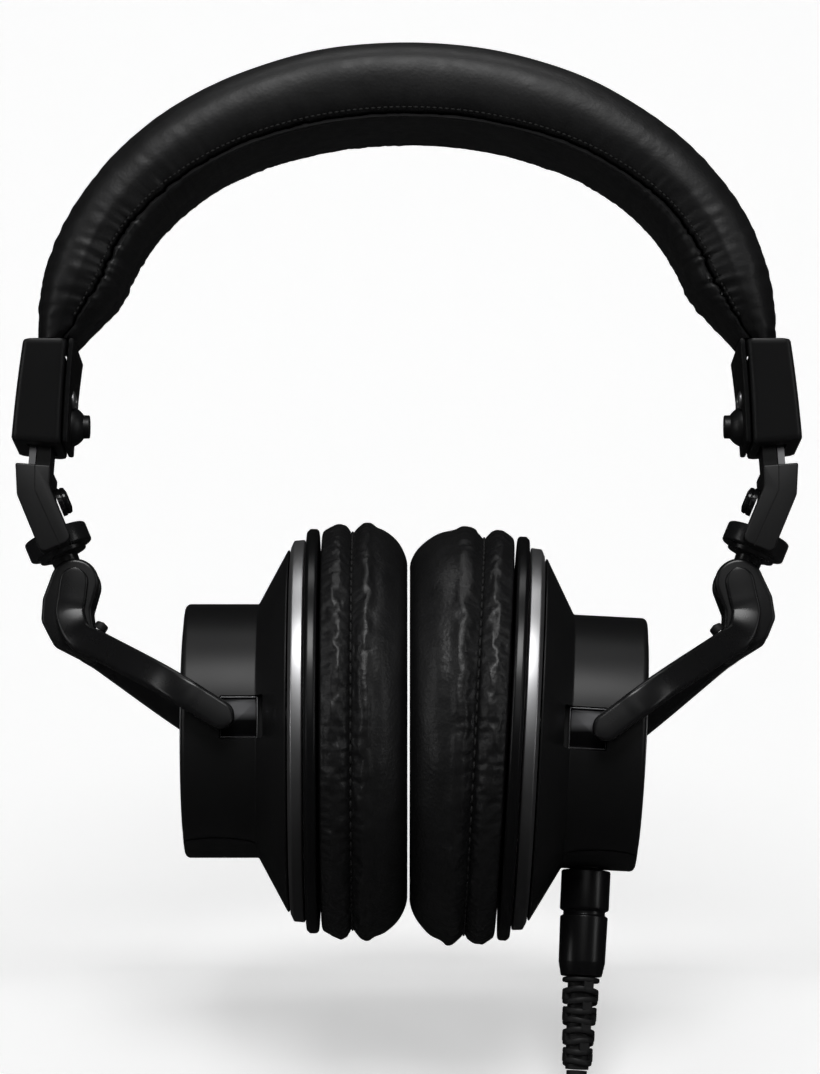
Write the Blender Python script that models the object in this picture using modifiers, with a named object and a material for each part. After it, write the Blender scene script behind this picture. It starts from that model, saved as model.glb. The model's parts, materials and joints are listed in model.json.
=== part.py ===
"""Closed-back over-ear headphones on a padded headband.

Frame: +X runs across the head, towards the wearer's cabled side, -Y is the front and +Z is up.
The origin is the underside of the headband at its crown, where a head or a hook holds it up.
Lengths are metres. Each side is modelled once, in the left side's frames, and the right
side's pieces are mirrored copies of it, with the fold and tilt that the right side rests at.
"""
import math

import bmesh
import bpy
from mathutils import Matrix, Vector

for old in list(bpy.data.objects):
    bpy.data.objects.remove(old)

MM = 0.001
GAP = 0.3 * MM                      # left between pieces that touch

# Headband
BAND_OUTER = (82.3 * MM, 64.3 * MM) # half width and height of the outer ellipse
BAND_INNER = (65 * MM, 47 * MM)     # half width and height of the inner ellipse
BAND_CENTRE_Z = -47 * MM
BAND_WIDTH = 34 * MM
BAND_END = math.radians(92)         # how far round the arch the padding runs
BAND_STEPS = 26
SPRING_END = math.radians(84)
SPRING_AT = 0.34                    # where the spring lies, from the inner to the outer face
SPRING_THICK = 0.8 * MM
SPRING_WIDTH = 20 * MM

# End cap and slider
CAP_TOP_Z = -50.5 * MM
CAP_BOTTOM_Z = -72.9 * MM
CAP_THICK = 10.9 * MM
CAP_DEPTH = (33 * MM, 23 * MM)      # front to back, at the top and at the bottom
SLIDE_POINT = Vector((-81.3 * MM, 0, CAP_BOTTOM_Z))
SLIDE_LEAN = math.radians(4)
BAR_HALF_DEPTH = 6 * MM

# Hinge block and swivel
KNUCKLE = Vector((-73.4 * MM, 0, -103.4 * MM))
NECK_LEAN = math.radians(22.7)
BLOCK_DEPTH = 22 * MM
DISC_RADIUS = 7.2 * MM
DISC_SPAN = (8.3 * MM, 12.5 * MM)   # distances from the knuckle, up the neck's axis
BLOCK_FOOT = 8.0 * MM
BLOCK_TOP_Z = -77.5 * MM
BAR_BELOW = 7.6 * MM                # how far the slider's bar reaches below the end cap at rest
BAR_INSIDE = 20.5 * MM              # and how far up inside the cap
STEM_RADIUS = 2.2 * MM
STEM_TOP = 17 * MM
NECK_RADIUS = 3.0 * MM

# Yoke
YOKE_DEPTH = 13 * MM
TONGUE_DEPTH = 6 * MM
KNUCKLE_RADIUS = 5.4 * MM
ARM_HALF = 3.1 * MM                 # half the arm's height
ARM_INNER_Y = 28.7 * MM
ARM_OUTER_Y = 33.0 * MM
FORK_BEND = [(-2.4 * MM, 30.85 * MM), (9.5 * MM, 30.7 * MM), (15 * MM, 28.2 * MM), (21 * MM, 23.2 * MM),
             (33 * MM, 11.2 * MM), (38 * MM, 7.2 * MM)]     # back from the pivot, and out from the middle
ARM_LEAN = math.radians(32.4)       # the arms' slope below level
STOP_BACK = 34.5 * MM                # the elbow stop, back from the pivot and out from the middle
STOP_OUT = 10.0 * MM
PIVOT_REACH = 46.46 * MM            # from the knuckle to the cup's pivot
PIVOT_LEAN = math.radians(44.2)
PIVOT_RADIUS = 2.3 * MM

# Cup, measured along its axis from the pivot, towards the head
SHELL_BACK = -8.7 * MM
CAP_FACE = SHELL_BACK - 0.5 * MM     # the flat disc on the cup's back
SHELL_RADIUS = 28 * MM
SHELL_WALL = 4 * MM
CONE_START = 7.5 * MM
CONE_END = 15 * MM
RING_RADIUS = 42.2 * MM
RING_END = 18 * MM
FLANGE_RADIUS = 44.6 * MM
FLANGE_END = 20.8 * MM
PAD_BACK = 21.3 * MM
PAD_FACE = 40.5 * MM
PAD_RADIUS = 45.6 * MM
PAD_HOLE = 23 * MM
DRIVER_RADIUS = 20 * MM
RECESS = (-0.4 * MM, 8.2 * MM)      # along the axis
RECESS_HALF = 4.7 * MM
RECESS_FLOOR = 25.7 * MM

# How the right side rests, away from the left side's angles
RIGHT_FOLD = math.radians(4.8)
RIGHT_TILT = math.radians(-3.0)

# Cable, on the right cup
SOCKET_AT = 2.0 * MM                # along the cup's axis, towards the head from the pivot
CABLE_RADIUS = 2.25 * MM
PLUG_RADIUS = 5.4 * MM
PLUG_TOP = 28.4 * MM                # below the cup's axis, up inside the housing's wall
PLUG_LENGTH = 23.2 * MM
FLOOR_Z = -262 * MM                 # where the spare cable lies
COIL_MID = 25.1 * MM                # the coil's radius at the middle of its turns
COIL_HALF_WIDTH = 11.4 * MM
COIL_HEIGHT = 9.0 * MM
COIL_BACK = 31.9 * MM               # how far the coil's centre is behind the cable
COIL_ASIDE = 26 * MM                # and how far towards the other side
FAR_PLUG_BACK = 41.2 * MM           # from the coil's centre to the plug beside it

RING_SEGMENTS = 40
SMALL_SEGMENTS = 16

parts = bpy.data.collections.new("headphones")
cutters = bpy.data.collections.new("cutters")
bpy.context.scene.collection.children.link(parts)
bpy.context.scene.collection.children.link(cutters)


# ---------------------------------------------------------------- helpers
def material(name, colour, roughness, metallic=0.0):
    mat = bpy.data.materials.new(name)
    mat.use_nodes = True
    shader = mat.node_tree.nodes["Principled BSDF"]
    shader.inputs["Base Color"].default_value = (*colour, 1.0)
    shader.inputs["Roughness"].default_value = roughness
    shader.inputs["Metallic"].default_value = metallic
    return mat


def add(name, data, mat=None, collection=parts):
    obj = bpy.data.objects.new(name, data)
    collection.objects.link(obj)
    if mat:
        data.materials.append(mat)
    return obj


def mesh_from(name, bm, mat=None, collection=parts):
    bmesh.ops.recalc_face_normals(bm, faces=bm.faces)
    mesh = bpy.data.meshes.new(name)
    bm.to_mesh(mesh)
    bm.free()
    return add(name, mesh, mat, collection)


def box(name, low, high, mat=None, collection=parts):
    bm = bmesh.new()
    bmesh.ops.create_cube(bm, size=1.0)
    size = Vector(high) - Vector(low)
    centre = (Vector(high) + Vector(low)) / 2
    bmesh.ops.transform(bm, matrix=Matrix.Translation(centre) @ Matrix.Diagonal((*size, 1)), verts=bm.verts)
    return mesh_from(name, bm, mat, collection)


def turned(name, profile, axis, mat=None, segments=RING_SEGMENTS, closed=False, collection=parts):
    """A Screw of (radius, height) points, listed down the outer side, about axis from the origin."""
    mesh = bpy.data.meshes.new(name)
    edges = [(i, i + 1) for i in range(len(profile) - 1)]
    if closed:
        edges.append((len(profile) - 1, 0))
    mesh.from_pydata([(r, 0, h) for r, h in profile], edges, [])
    obj = add(name, mesh, mat, collection)
    screw = obj.modifiers.new("turn", "SCREW")
    screw.axis = "Z"
    screw.steps = screw.render_steps = segments
    screw.use_merge_vertices = True
    screw.merge_threshold = 0.00001
    screw.use_smooth_shade = True
    obj.rotation_mode = "QUATERNION"
    obj.rotation_quaternion = Vector((0, 0, 1)).rotation_difference(Vector(axis).normalized())
    return obj


def pin(name, start, end, radius, mat=None, segments=SMALL_SEGMENTS, collection=parts):
    """A round bar from start to end."""
    start, end = Vector(start), Vector(end)
    length = (end - start).length
    profile = [(0, length), (radius, length), (radius, 0), (0, 0)]
    obj = turned(name, profile, end - start, mat, segments, collection=collection)
    obj.location = start
    return obj


def outline(name, points, half_depth, mat=None, collection=parts, centre_y=0.0):
    """A flat outline of (x, z) points, extruded to both sides along Y."""
    curve = bpy.data.curves.new(name, "CURVE")
    curve.dimensions = "2D"
    curve.fill_mode = "BOTH"
    curve.extrude = half_depth
    spline = curve.splines.new("POLY")
    spline.points.add(len(points) - 1)
    for point, (x, z) in zip(spline.points, points):
        point.co = (x, z, 0, 1)
    spline.use_cyclic_u = True
    obj = add(name, curve, mat, collection)
    obj.rotation_euler = (math.radians(90), 0, 0)
    obj.location.y = centre_y
    return as_mesh(obj)


def as_mesh(obj):
    """The object's evaluated shape as a plain mesh object of the same name, caps welded."""
    bpy.context.view_layer.update()
    graph = bpy.context.evaluated_depsgraph_get()
    mesh = bpy.data.meshes.new_from_object(obj.evaluated_get(graph))
    mesh.transform(obj.matrix_world)
    bm = bmesh.new()
    bm.from_mesh(mesh)
    bmesh.ops.remove_doubles(bm, verts=bm.verts, dist=0.000001)
    bmesh.ops.recalc_face_normals(bm, faces=bm.faces)
    bm.to_mesh(mesh)
    bm.free()
    name = obj.name
    collection = obj.users_collection[0]
    bpy.data.objects.remove(obj)
    solid = bpy.data.objects.new(name, mesh)
    collection.objects.link(solid)
    return solid


def finished(obj, mat):
    """The object with its modifiers worked in, in one material."""
    solid = as_mesh(obj)
    solid.data.materials.clear()
    solid.data.materials.append(mat)
    return solid


def loft(name, rings, mat=None, collection=parts):
    """A closed solid through rings of points that match one to one."""
    bm = bmesh.new()
    loops = [[bm.verts.new(p) for p in ring] for ring in rings]
    count = len(rings[0])
    for low, high in zip(loops, loops[1:]):
        for i in range(count):
            j = (i + 1) % count
            bm.faces.new((low[i], low[j], high[j], high[i]))
    bm.faces.new(loops[0])
    bm.faces.new(loops[-1])
    return mesh_from(name, bm, mat, collection)


def boolean(obj, other, operation="DIFFERENCE"):
    """Cuts or joins other, which stays hidden among the cutters."""
    other.hide_render = True
    other.display_type = "WIRE"
    mod = obj.modifiers.new(operation.lower(), "BOOLEAN")
    mod.operation = operation
    mod.object = other
    mod.solver = "EXACT"
    return obj


def bevel(obj, width, segments=2, angle=40):
    mod = obj.modifiers.new("round", "BEVEL")
    mod.width = width
    mod.segments = segments
    mod.limit_method = "ANGLE"
    mod.angle_limit = math.radians(angle)
    return obj


def rounded(half_x, half_y, corner, steps=2):
    """A rounded rectangle of (x, y) points about the origin."""
    points = []
    for cx, cy, first in ((1, 1, 0), (-1, 1, 90), (-1, -1, 180), (1, -1, 270)):
        for i in range(steps + 1):
            a = math.radians(first + 90 * i / steps)
            points.append((cx * (half_x - corner) + corner * math.cos(a),
                           cy * (half_y - corner) + corner * math.sin(a)))
    return points


def arc(centre, radius, first, last, steps):
    """Points (x, z) round a centre, between two angles in degrees."""
    turn = [math.radians(first + (last - first) * i / steps) for i in range(steps + 1)]
    return [(centre[0] + radius * math.cos(a), centre[1] + radius * math.sin(a)) for a in turn]


# ---------------------------------------------------------------- materials
LEATHER = material("leather", (0.012, 0.012, 0.013), 0.42)
PLASTIC = material("satin_plastic", (0.010, 0.010, 0.011), 0.36)
METAL_PAINT = material("painted_metal", (0.012, 0.012, 0.013), 0.30, 0.3)
CHROME = material("chrome", (0.62, 0.62, 0.63), 0.16, 1.0)
STEEL = material("steel", (0.55, 0.55, 0.56), 0.28, 1.0)
RUBBER = material("rubber", (0.012, 0.012, 0.012), 0.62)
CLOTH = material("driver_cloth", (0.02, 0.02, 0.02), 0.9)


# ---------------------------------------------------------------- frames
class Side:
    """One side's frames. Pieces are modelled in the left side's frames and mirrored if need be."""

    def __init__(self, name, sign, fold, tilt):
        self.name = name
        self.sign = sign
        self.frames = {}
        reach = Vector((math.cos(PIVOT_LEAN), 0, -math.sin(PIVOT_LEAN))) * PIVOT_REACH
        yoke = Matrix.Translation(KNUCKLE) @ Matrix.Rotation(fold, 4, "Y")
        cup = yoke @ Matrix.Translation(reach) @ Matrix.Rotation(tilt - fold, 4, "Y")
        for frame, matrix in (("fixed", Matrix()), ("yoke", yoke), ("cup", cup)):
            empty = bpy.data.objects.new(f"{name}_{frame}_frame", None)
            parts.objects.link(empty)
            flip = Matrix.Scale(sign, 4, (1, 0, 0))
            empty.matrix_world = flip @ matrix @ flip
            self.frames[frame] = empty
        bpy.context.view_layer.update()

    def place(self, obj, frame):
        """Names obj for this side and hangs it on a frame, mirrored on the right side."""
        obj.name = f"{self.name}_{obj.name}"
        if self.sign < 0:
            obj = mirrored(obj)
        obj.parent = self.frames[frame]
        return obj


def mirrored(obj):
    """A mesh copy of obj in X, in place of obj."""
    name = obj.name
    obj = as_mesh(obj)
    obj.data.transform(Matrix.Scale(-1, 4, (1, 0, 0)))
    obj.data.flip_normals()
    obj.name = name
    return obj


# ---------------------------------------------------------------- headband
def band_point(angle, level, y, lift=0.0):
    """A point on the arch: angle from the crown, level 0 at the inner face and 1 at the outer."""
    inner = Vector((BAND_INNER[0] * math.sin(angle), 0, BAND_CENTRE_Z + BAND_INNER[1] * math.cos(angle)))
    outer = Vector((BAND_OUTER[0] * math.sin(angle), 0, BAND_CENTRE_Z + BAND_OUTER[1] * math.cos(angle)))
    out = (outer - inner).normalized()
    return inner.lerp(outer, level) + out * lift + Vector((0, y, 0))


def arch(name, section, mat, end=BAND_END):
    """A loft over the arch of a section of (level, y, lift) points."""
    angles = [-end + 2 * end * i / BAND_STEPS for i in range(BAND_STEPS + 1)]
    return loft(name, [[band_point(a, *p) for p in section] for a in angles], mat)


def make_band():
    half = BAND_WIDTH / 2
    spring_half = SPRING_THICK / 2
    low = -spring_half - GAP
    high = spring_half + GAP
    cover = [(SPRING_AT, half, high), (0.72, half, 0), (0.93, half * 0.72, 0), (1.0, half * 0.3, 0),
             (1.0, -half * 0.3, 0), (0.93, -half * 0.72, 0), (0.72, -half, 0), (SPRING_AT, -half, high)]
    arch("band_cover", cover, LEATHER)
    cushion = [(SPRING_AT, -half, low), (0.12, -half * 0.8, 0), (0.0, -half * 0.4, 0),
               (0.0, half * 0.4, 0), (0.12, half * 0.8, 0), (SPRING_AT, half, low)]
    arch("band_cushion", cushion, LEATHER)
    w = SPRING_WIDTH / 2
    spring = [(SPRING_AT, -w, -spring_half), (SPRING_AT, w, -spring_half),
              (SPRING_AT, w, spring_half), (SPRING_AT, -w, spring_half)]
    arch("band_spring", spring, STEEL, SPRING_END)


# ---------------------------------------------------------------- end cap and slider
def cap_centre(z):
    """The end cap's middle, following the arch's lean and straightening downwards."""
    drop = (CAP_TOP_Z - z) / (CAP_TOP_Z - CAP_BOTTOM_Z)
    return -79.1 * MM - (3.6 * drop - 0.8 * drop ** 2) * MM


def cap_rings(inner, outer, trim=0.0):
    """Rings of the cap's section, between two offsets across its thickness."""
    rings = []
    for i in range(6):
        drop = i / 5
        z = CAP_TOP_Z + (CAP_BOTTOM_Z - CAP_TOP_Z) * drop
        depth = CAP_DEPTH[0] + (CAP_DEPTH[1] - CAP_DEPTH[0]) * drop
        middle = cap_centre(z) + (inner + outer) / 2
        section = rounded((outer - inner) / 2, depth / 2 - trim, min(1.2 * MM, (outer - inner) / 2.5), 1)
        rings.append([(middle + x, y, z) for x, y in section])
    return rings


def slide_axis():
    return Vector((-math.sin(SLIDE_LEAN), 0, -math.cos(SLIDE_LEAN)))


def slide_box(name, across, half_depth, along, mat=None, collection=parts):
    """A box in the slider's lean: offsets across it, half its depth and heights up from the cap's foot."""
    obj = box(name, (across[0], -half_depth, along[0]), (across[1], half_depth, along[1]), mat, collection)
    obj.data.transform(Matrix.Translation(SLIDE_POINT) @ Matrix.Rotation(SLIDE_LEAN, 4, "Y"))
    return obj


def make_end_cap(side):
    cap = loft("end_cap", cap_rings(-CAP_THICK / 2, CAP_THICK / 2 - 1.6 * MM), PLASTIC)
    boolean(cap, slide_box("slider_channel", (-2.8 * MM, 3.1 * MM), BAR_HALF_DEPTH + 0.5 * MM,
                           (-5 * MM, 35 * MM), collection=cutters))
    boolean(cap, box("band_mouth", (-83.2 * MM, -13 * MM, CAP_TOP_Z - 3 * MM),
                     (-74.8 * MM, 13 * MM, CAP_TOP_Z + 2 * MM), collection=cutters))
    side.place(finished(cap, PLASTIC), "fixed")
    plate = loft("cap_plate", cap_rings(CAP_THICK / 2 - 1.6 * MM + GAP, CAP_THICK / 2, 0.8 * MM), PLASTIC)
    side.place(plate, "fixed")


def make_cap_fittings(side):
    """Two screws and the click dome, on the cap's inner plate."""
    screw_z = -62.2 * MM
    for label, y in (("a", -3.2 * MM), ("b", 3.2 * MM)):
        face = cap_centre(screw_z) + CAP_THICK / 2 + 0.5 * MM
        head = pin(f"plate_screw_{label}", (face, y, screw_z), (face + 1.3 * MM, y, screw_z), 2.0 * MM,
                   CHROME, 12)
        side.place(head, "fixed")
    dome_z = -67.7 * MM
    face = cap_centre(dome_z) + CAP_THICK / 2 + 0.5 * MM
    r = 4.6 * MM
    high = 4.2 * MM
    profile = [(0, high + 0.6 * MM), (2.6 * MM, high + 0.6 * MM), (2.6 * MM, high)]
    profile += [(r * math.cos(a), high * math.sin(a)) for a in (0.9, 0.5, 0.0)]
    profile += [(0, 0)]
    dome = turned("click_dome", profile, (1, 0, 0), PLASTIC, SMALL_SEGMENTS)
    dome.location = (face, 0, dome_z)
    side.place(dome, "fixed")


def make_slider(side):
    """The slider's bar, and the bright strip that lies along its outer face."""
    along = (-BAR_BELOW, BAR_INSIDE)
    side.place(slide_box("slider_bar", (-0.5 * MM, 2.6 * MM), BAR_HALF_DEPTH, along, PLASTIC), "fixed")
    side.place(slide_box("slider_strip", (-2.3 * MM, -0.8 * MM), BAR_HALF_DEPTH - 1 * MM, along, STEEL),
               "fixed")


# ---------------------------------------------------------------- hinge block and swivel
def neck_axis():
    """Points down the neck, from the block to the knuckle."""
    return Vector((math.sin(NECK_LEAN), 0, -math.cos(NECK_LEAN)))


def on_neck(distance):
    """A point up the neck's axis from the knuckle."""
    return KNUCKLE - neck_axis() * distance


def make_block(side):
    half = 3.7 * MM
    u = neck_axis()
    across = Vector((math.cos(NECK_LEAN), 0, math.sin(NECK_LEAN)))
    foot = on_neck(BLOCK_FOOT) - across * 0.6 * MM
    foot_outer = foot - across * half
    foot_inner = foot + across * half
    bend_outer = foot_outer - u * 14.2 * MM
    bend_inner = foot_inner - u * 13.2 * MM
    top = BLOCK_TOP_Z
    points = [(bend_outer.x + 0.3 * MM, top), (bend_outer.x, bend_outer.z), (foot_outer.x, foot_outer.z),
              (foot_inner.x, foot_inner.z), (bend_inner.x, bend_inner.z),
              (bend_inner.x + 0.2 * MM, top - 0.6 * MM)]
    block = outline("hinge_block", points, BLOCK_DEPTH / 2)
    bevel(block, 0.9 * MM, 2, 30)
    boolean(block, slide_box("bar_socket", (-2.6 * MM, 2.9 * MM), BAR_HALF_DEPTH + GAP,
                             (-BAR_BELOW - GAP, 20 * MM), collection=cutters))
    slot = pin("disc_slot", on_neck(BLOCK_FOOT - 3 * MM), on_neck(DISC_SPAN[1] + 0.4 * MM),
               DISC_RADIUS + 0.4 * MM, None, 24, cutters)
    boolean(block, slot)
    bore = pin("stem_bore", on_neck(BLOCK_FOOT), on_neck(STEM_TOP + 0.4 * MM), STEM_RADIUS + 0.35 * MM,
               None, SMALL_SEGMENTS, cutters)
    boolean(block, bore)
    side.place(finished(block, PLASTIC), "fixed")
    seat = foot_inner - u * 10.6 * MM + across * GAP
    profile = [(0, 2.6 * MM), (2.4 * MM, 2.6 * MM), (3.2 * MM, 2.0 * MM), (3.2 * MM, 0), (0, 0)]
    boss = turned("block_boss", profile, across, PLASTIC, SMALL_SEGMENTS)
    boss.location = seat
    side.place(boss, "fixed")


def make_swivel(side):
    """The disc, flange, neck and stem, turned about the neck's axis, with the knuckle's tongue."""
    low, high = DISC_SPAN
    edge = 1.0 * MM
    profile = [(0, STEM_TOP), (STEM_RADIUS, STEM_TOP), (STEM_RADIUS, high), (DISC_RADIUS - edge, high),
               (DISC_RADIUS, high - edge), (DISC_RADIUS, low + edge), (DISC_RADIUS - edge, low),
               (5.0 * MM, low), (5.0 * MM, 6.9 * MM), (NECK_RADIUS, 6.9 * MM), (NECK_RADIUS, 2 * MM),
               (0, 2 * MM)]
    swivel = turned("swivel_knuckle", profile, -neck_axis(), METAL_PAINT, 24)
    swivel.location = KNUCKLE
    half = TONGUE_DEPTH / 2
    tongue = pin("tongue", KNUCKLE - Vector((0, half, 0)), KNUCKLE + Vector((0, half, 0)),
                 KNUCKLE_RADIUS - 0.5 * MM, None, 20, cutters)
    boolean(swivel, tongue, "UNION")
    bore = pin("tongue_bore", KNUCKLE - Vector((0, 9 * MM, 0)), KNUCKLE + Vector((0, 9 * MM, 0)),
               2.0 * MM + 0.05 * MM, None, SMALL_SEGMENTS, cutters)
    boolean(swivel, bore)
    side.place(finished(swivel, METAL_PAINT), "fixed")


# ---------------------------------------------------------------- yoke, in the yoke's frame
def arm_axis():
    return Vector((math.cos(ARM_LEAN), 0, -math.sin(ARM_LEAN)))


def pivot_point():
    return Vector((math.cos(PIVOT_LEAN), 0, -math.sin(PIVOT_LEAN))) * PIVOT_REACH


def fork_path():
    """The fork's middle line: up the front arm, across the crotch and back down the rear arm."""
    front = [(along, -y) for along, y in FORK_BEND]
    return front + [(along, -y) for along, y in reversed(front)]


def make_fork():
    """Lofts the arm's section round the fork's path, in the arms' own slanted plane."""
    back = -arm_axis()
    rise = Vector((math.sin(ARM_LEAN), 0, math.cos(ARM_LEAN)))
    path = fork_path()
    half = (ARM_OUTER_Y - ARM_INNER_Y) / 2
    section = rounded(half, ARM_HALF, 1.2 * MM, 1)
    rings = []
    for i, (along, y) in enumerate(path):
        before = Vector(path[max(i - 1, 0)])
        after = Vector(path[min(i + 1, len(path) - 1)])
        run = (after - before).normalized()
        out = Vector((run.y, -run.x))
        centre = pivot_point() + back * along + Vector((0, y, 0))
        side_way = back * out.x + Vector((0, out.y, 0))
        rings.append([centre + side_way * a + rise * b for a, b in section])
    return loft("yoke", rings, METAL_PAINT)


def make_yoke(side):
    fork = make_fork()
    hub = arc((0, 0), KNUCKLE_RADIUS, 10, 170, 6) + [(-5.4 * MM, -10 * MM), (-2.0 * MM, -14.0 * MM),
                                                    (5.5 * MM, -13.0 * MM), (4.6 * MM, -6.0 * MM)]
    leg = outline("yoke_leg", hub, YOKE_DEPTH / 2, collection=cutters)
    boolean(fork, leg, "UNION")
    clear = TONGUE_DEPTH / 2 + 0.35 * MM
    slot = box("tongue_slot", (-9 * MM, -clear, -KNUCKLE_RADIUS - 0.2 * MM), (9 * MM, clear, 9 * MM),
               collection=cutters)
    boolean(fork, slot)
    hole = pin("fold_bore", (0, -YOKE_DEPTH / 2 + 1.2 * MM, 0), (0, 9 * MM, 0), 2.3 * MM, None,
               SMALL_SEGMENTS, cutters)
    boolean(fork, hole)
    for label, sign in (("front", -1), ("rear", 1)):
        p = pivot_point()
        hole = pin(f"{label}_pivot_bore", p + Vector((0, sign * 26 * MM, 0)),
                   p + Vector((0, sign * 31.2 * MM, 0)), PIVOT_RADIUS + GAP, None, SMALL_SEGMENTS, cutters)
        boolean(fork, hole)
    side.place(finished(fork, METAL_PAINT), "yoke")
    pin_start = -YOKE_DEPTH / 2 + 1.5 * MM
    side.place(pin("fold_pin", (0, pin_start, 0), (0, YOKE_DEPTH / 2, 0), 2.0 * MM, STEEL), "yoke")
    for label, sign in (("front", -1), ("rear", 1)):
        p = pivot_point()
        axle = pin(f"pivot_pin_{label}", p + Vector((0, sign * 22.8 * MM, 0)),
                   p + Vector((0, sign * 30.9 * MM, 0)), PIVOT_RADIUS, STEEL)
        side.place(axle, "yoke")
    tilt = Vector((math.sin(ARM_LEAN), 0, math.cos(ARM_LEAN)))
    seat = pivot_point() - arm_axis() * STOP_BACK + tilt * (ARM_HALF + GAP)
    profile = [(0, 1.8 * MM), (1.2 * MM, 1.8 * MM), (1.5 * MM, 1.4 * MM), (1.5 * MM, 0), (0, 0)]
    stop = turned("elbow_stop", profile, tilt, RUBBER, 12)
    stop.location = seat + Vector((0, -STOP_OUT, 0))
    side.place(stop, "yoke")


# ---------------------------------------------------------------- cup, in the cup's frame
def make_housing(side, cable):
    inner = SHELL_RADIUS - SHELL_WALL
    wall = 2.2 * MM
    profile = [(RING_RADIUS - 1.6 * MM, CONE_END), (RING_RADIUS - 1.6 * MM, CONE_END - 1.2 * MM),
               (SHELL_RADIUS, CONE_START), (SHELL_RADIUS, SHELL_BACK), (inner, SHELL_BACK),
               (inner, CONE_START + wall), (RING_RADIUS - 1.6 * MM - 3 * wall, CONE_END)]
    shell = turned("cup_housing", profile, (1, 0, 0), PLASTIC, RING_SEGMENTS, True)
    for label, sign in (("front", -1), ("rear", 1)):
        low = (RECESS[0], min(sign * RECESS_FLOOR, sign * 32 * MM), -RECESS_HALF)
        high = (RECESS[1], max(sign * RECESS_FLOOR, sign * 32 * MM), RECESS_HALF)
        boolean(shell, box(f"{label}_recess", low, high, collection=cutters))
        hole = pin(f"{label}_cup_bore", (0, sign * 20 * MM, 0), (0, sign * 32 * MM, 0), PIVOT_RADIUS + GAP,
                   None, SMALL_SEGMENTS, cutters)
        boolean(shell, hole)
    if cable:
        hole = pin("socket_hole", (SOCKET_AT, 0, -20 * MM), (SOCKET_AT, 0, -30 * MM),
                   4.2 * MM, None, SMALL_SEGMENTS, cutters)
        boolean(shell, hole)
        relief = pin("plug_relief", (SOCKET_AT, 0, GAP - PLUG_TOP), (SOCKET_AT, 0, -45 * MM),
                     PLUG_RADIUS + 0.4 * MM, None, 20, cutters)
        boolean(shell, relief)
    side.place(finished(shell, PLASTIC), "cup")


def make_cup_covers(side):
    """The cap disc and its rim at the back, and the trim ring and baffle at the front."""
    inner = SHELL_RADIUS - SHELL_WALL - GAP
    edge = inner - 1.9 * MM
    disc = [(0, SHELL_BACK + 2 * MM), (edge, SHELL_BACK + 2 * MM), (edge, CAP_FACE + 0.6 * MM),
            (edge - 0.8 * MM, CAP_FACE), (0, CAP_FACE)]
    side.place(turned("cap_disc", disc, (1, 0, 0), PLASTIC), "cup")
    rim = [(inner, SHELL_BACK + 1.2 * MM), (inner, SHELL_BACK + 0.2 * MM),
           (inner - 0.6 * MM, SHELL_BACK - 0.3 * MM), (inner - 1.6 * MM, SHELL_BACK - 0.3 * MM),
           (inner - 1.6 * MM, SHELL_BACK + 1.2 * MM)]
    side.place(turned("cap_rim", rim, (1, 0, 0), CHROME, RING_SEGMENTS, True), "cup")
    ring = [(RING_RADIUS, RING_END), (RING_RADIUS, RING_END - 2.4 * MM),
            (RING_RADIUS - 1.3 * MM, CONE_END - 0.6 * MM), (RING_RADIUS - 1.3 * MM, RING_END)]
    side.place(turned("trim_ring", ring, (1, 0, 0), CHROME, RING_SEGMENTS, True), "cup")
    front = FLANGE_END
    baffle = [(FLANGE_RADIUS - 0.5 * MM, front), (FLANGE_RADIUS, front - 0.8 * MM),
              (FLANGE_RADIUS, RING_END + GAP), (RING_RADIUS - 1.9 * MM, RING_END + GAP),
              (RING_RADIUS - 1.9 * MM, CONE_END + GAP), (RING_RADIUS - 7.5 * MM, CONE_END + GAP),
              (RING_RADIUS - 7.5 * MM, RING_END),
              (DRIVER_RADIUS + GAP, RING_END), (DRIVER_RADIUS + GAP, front)]
    side.place(turned("baffle", baffle, (1, 0, 0), PLASTIC, RING_SEGMENTS, True), "cup")


def make_driver(side):
    r = DRIVER_RADIUS
    front = FLANGE_END
    profile = [(0, front - 1.6 * MM), (r - 3 * MM, front - 0.8 * MM), (r, front - 0.8 * MM),
               (r, front - 3.4 * MM), (9 * MM, front - 5 * MM), (9 * MM, front - 11 * MM),
               (0, front - 11 * MM)]
    side.place(turned("driver", profile, (1, 0, 0), METAL_PAINT, 28), "cup")
    edge = PAD_HOLE - 1 * MM
    cloth = [(0, front + 1.1 * MM), (edge, front + 1.1 * MM), (edge, front + 0.3 * MM),
             (0, front + 0.3 * MM)]
    side.place(turned("driver_cloth", cloth, (1, 0, 0), CLOTH, 28), "cup")


def make_pad(side):
    """A ring cushion: a narrow welt behind a seam, then the main roll that meets the head."""
    seam = 27.4 * MM
    profile = [(37.5 * MM, PAD_FACE - 0.2 * MM), (42.0 * MM, PAD_FACE - 3.0 * MM),
               (44.8 * MM, PAD_FACE - 7.6 * MM), (44.6 * MM, seam + 1.4 * MM), (43.8 * MM, seam),
               (PAD_RADIUS, seam - 2.2 * MM),
               (PAD_RADIUS, PAD_BACK + 1.6 * MM), (44.0 * MM, PAD_BACK), (PAD_HOLE + 0.6 * MM, PAD_BACK),
               (PAD_HOLE, PAD_BACK + 6 * MM), (25.5 * MM, PAD_FACE - 4 * MM), (30.5 * MM, PAD_FACE)]
    side.place(turned("pad", profile, (1, 0, 0), LEATHER, RING_SEGMENTS, True), "cup")


# ---------------------------------------------------------------- cable
def cup_to_world(side, point):
    """A point of the left cup's frame, on this side, in the world."""
    x, y, z = point
    return side.frames["cup"].matrix_world @ Vector((side.sign * x, y, z))


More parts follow.
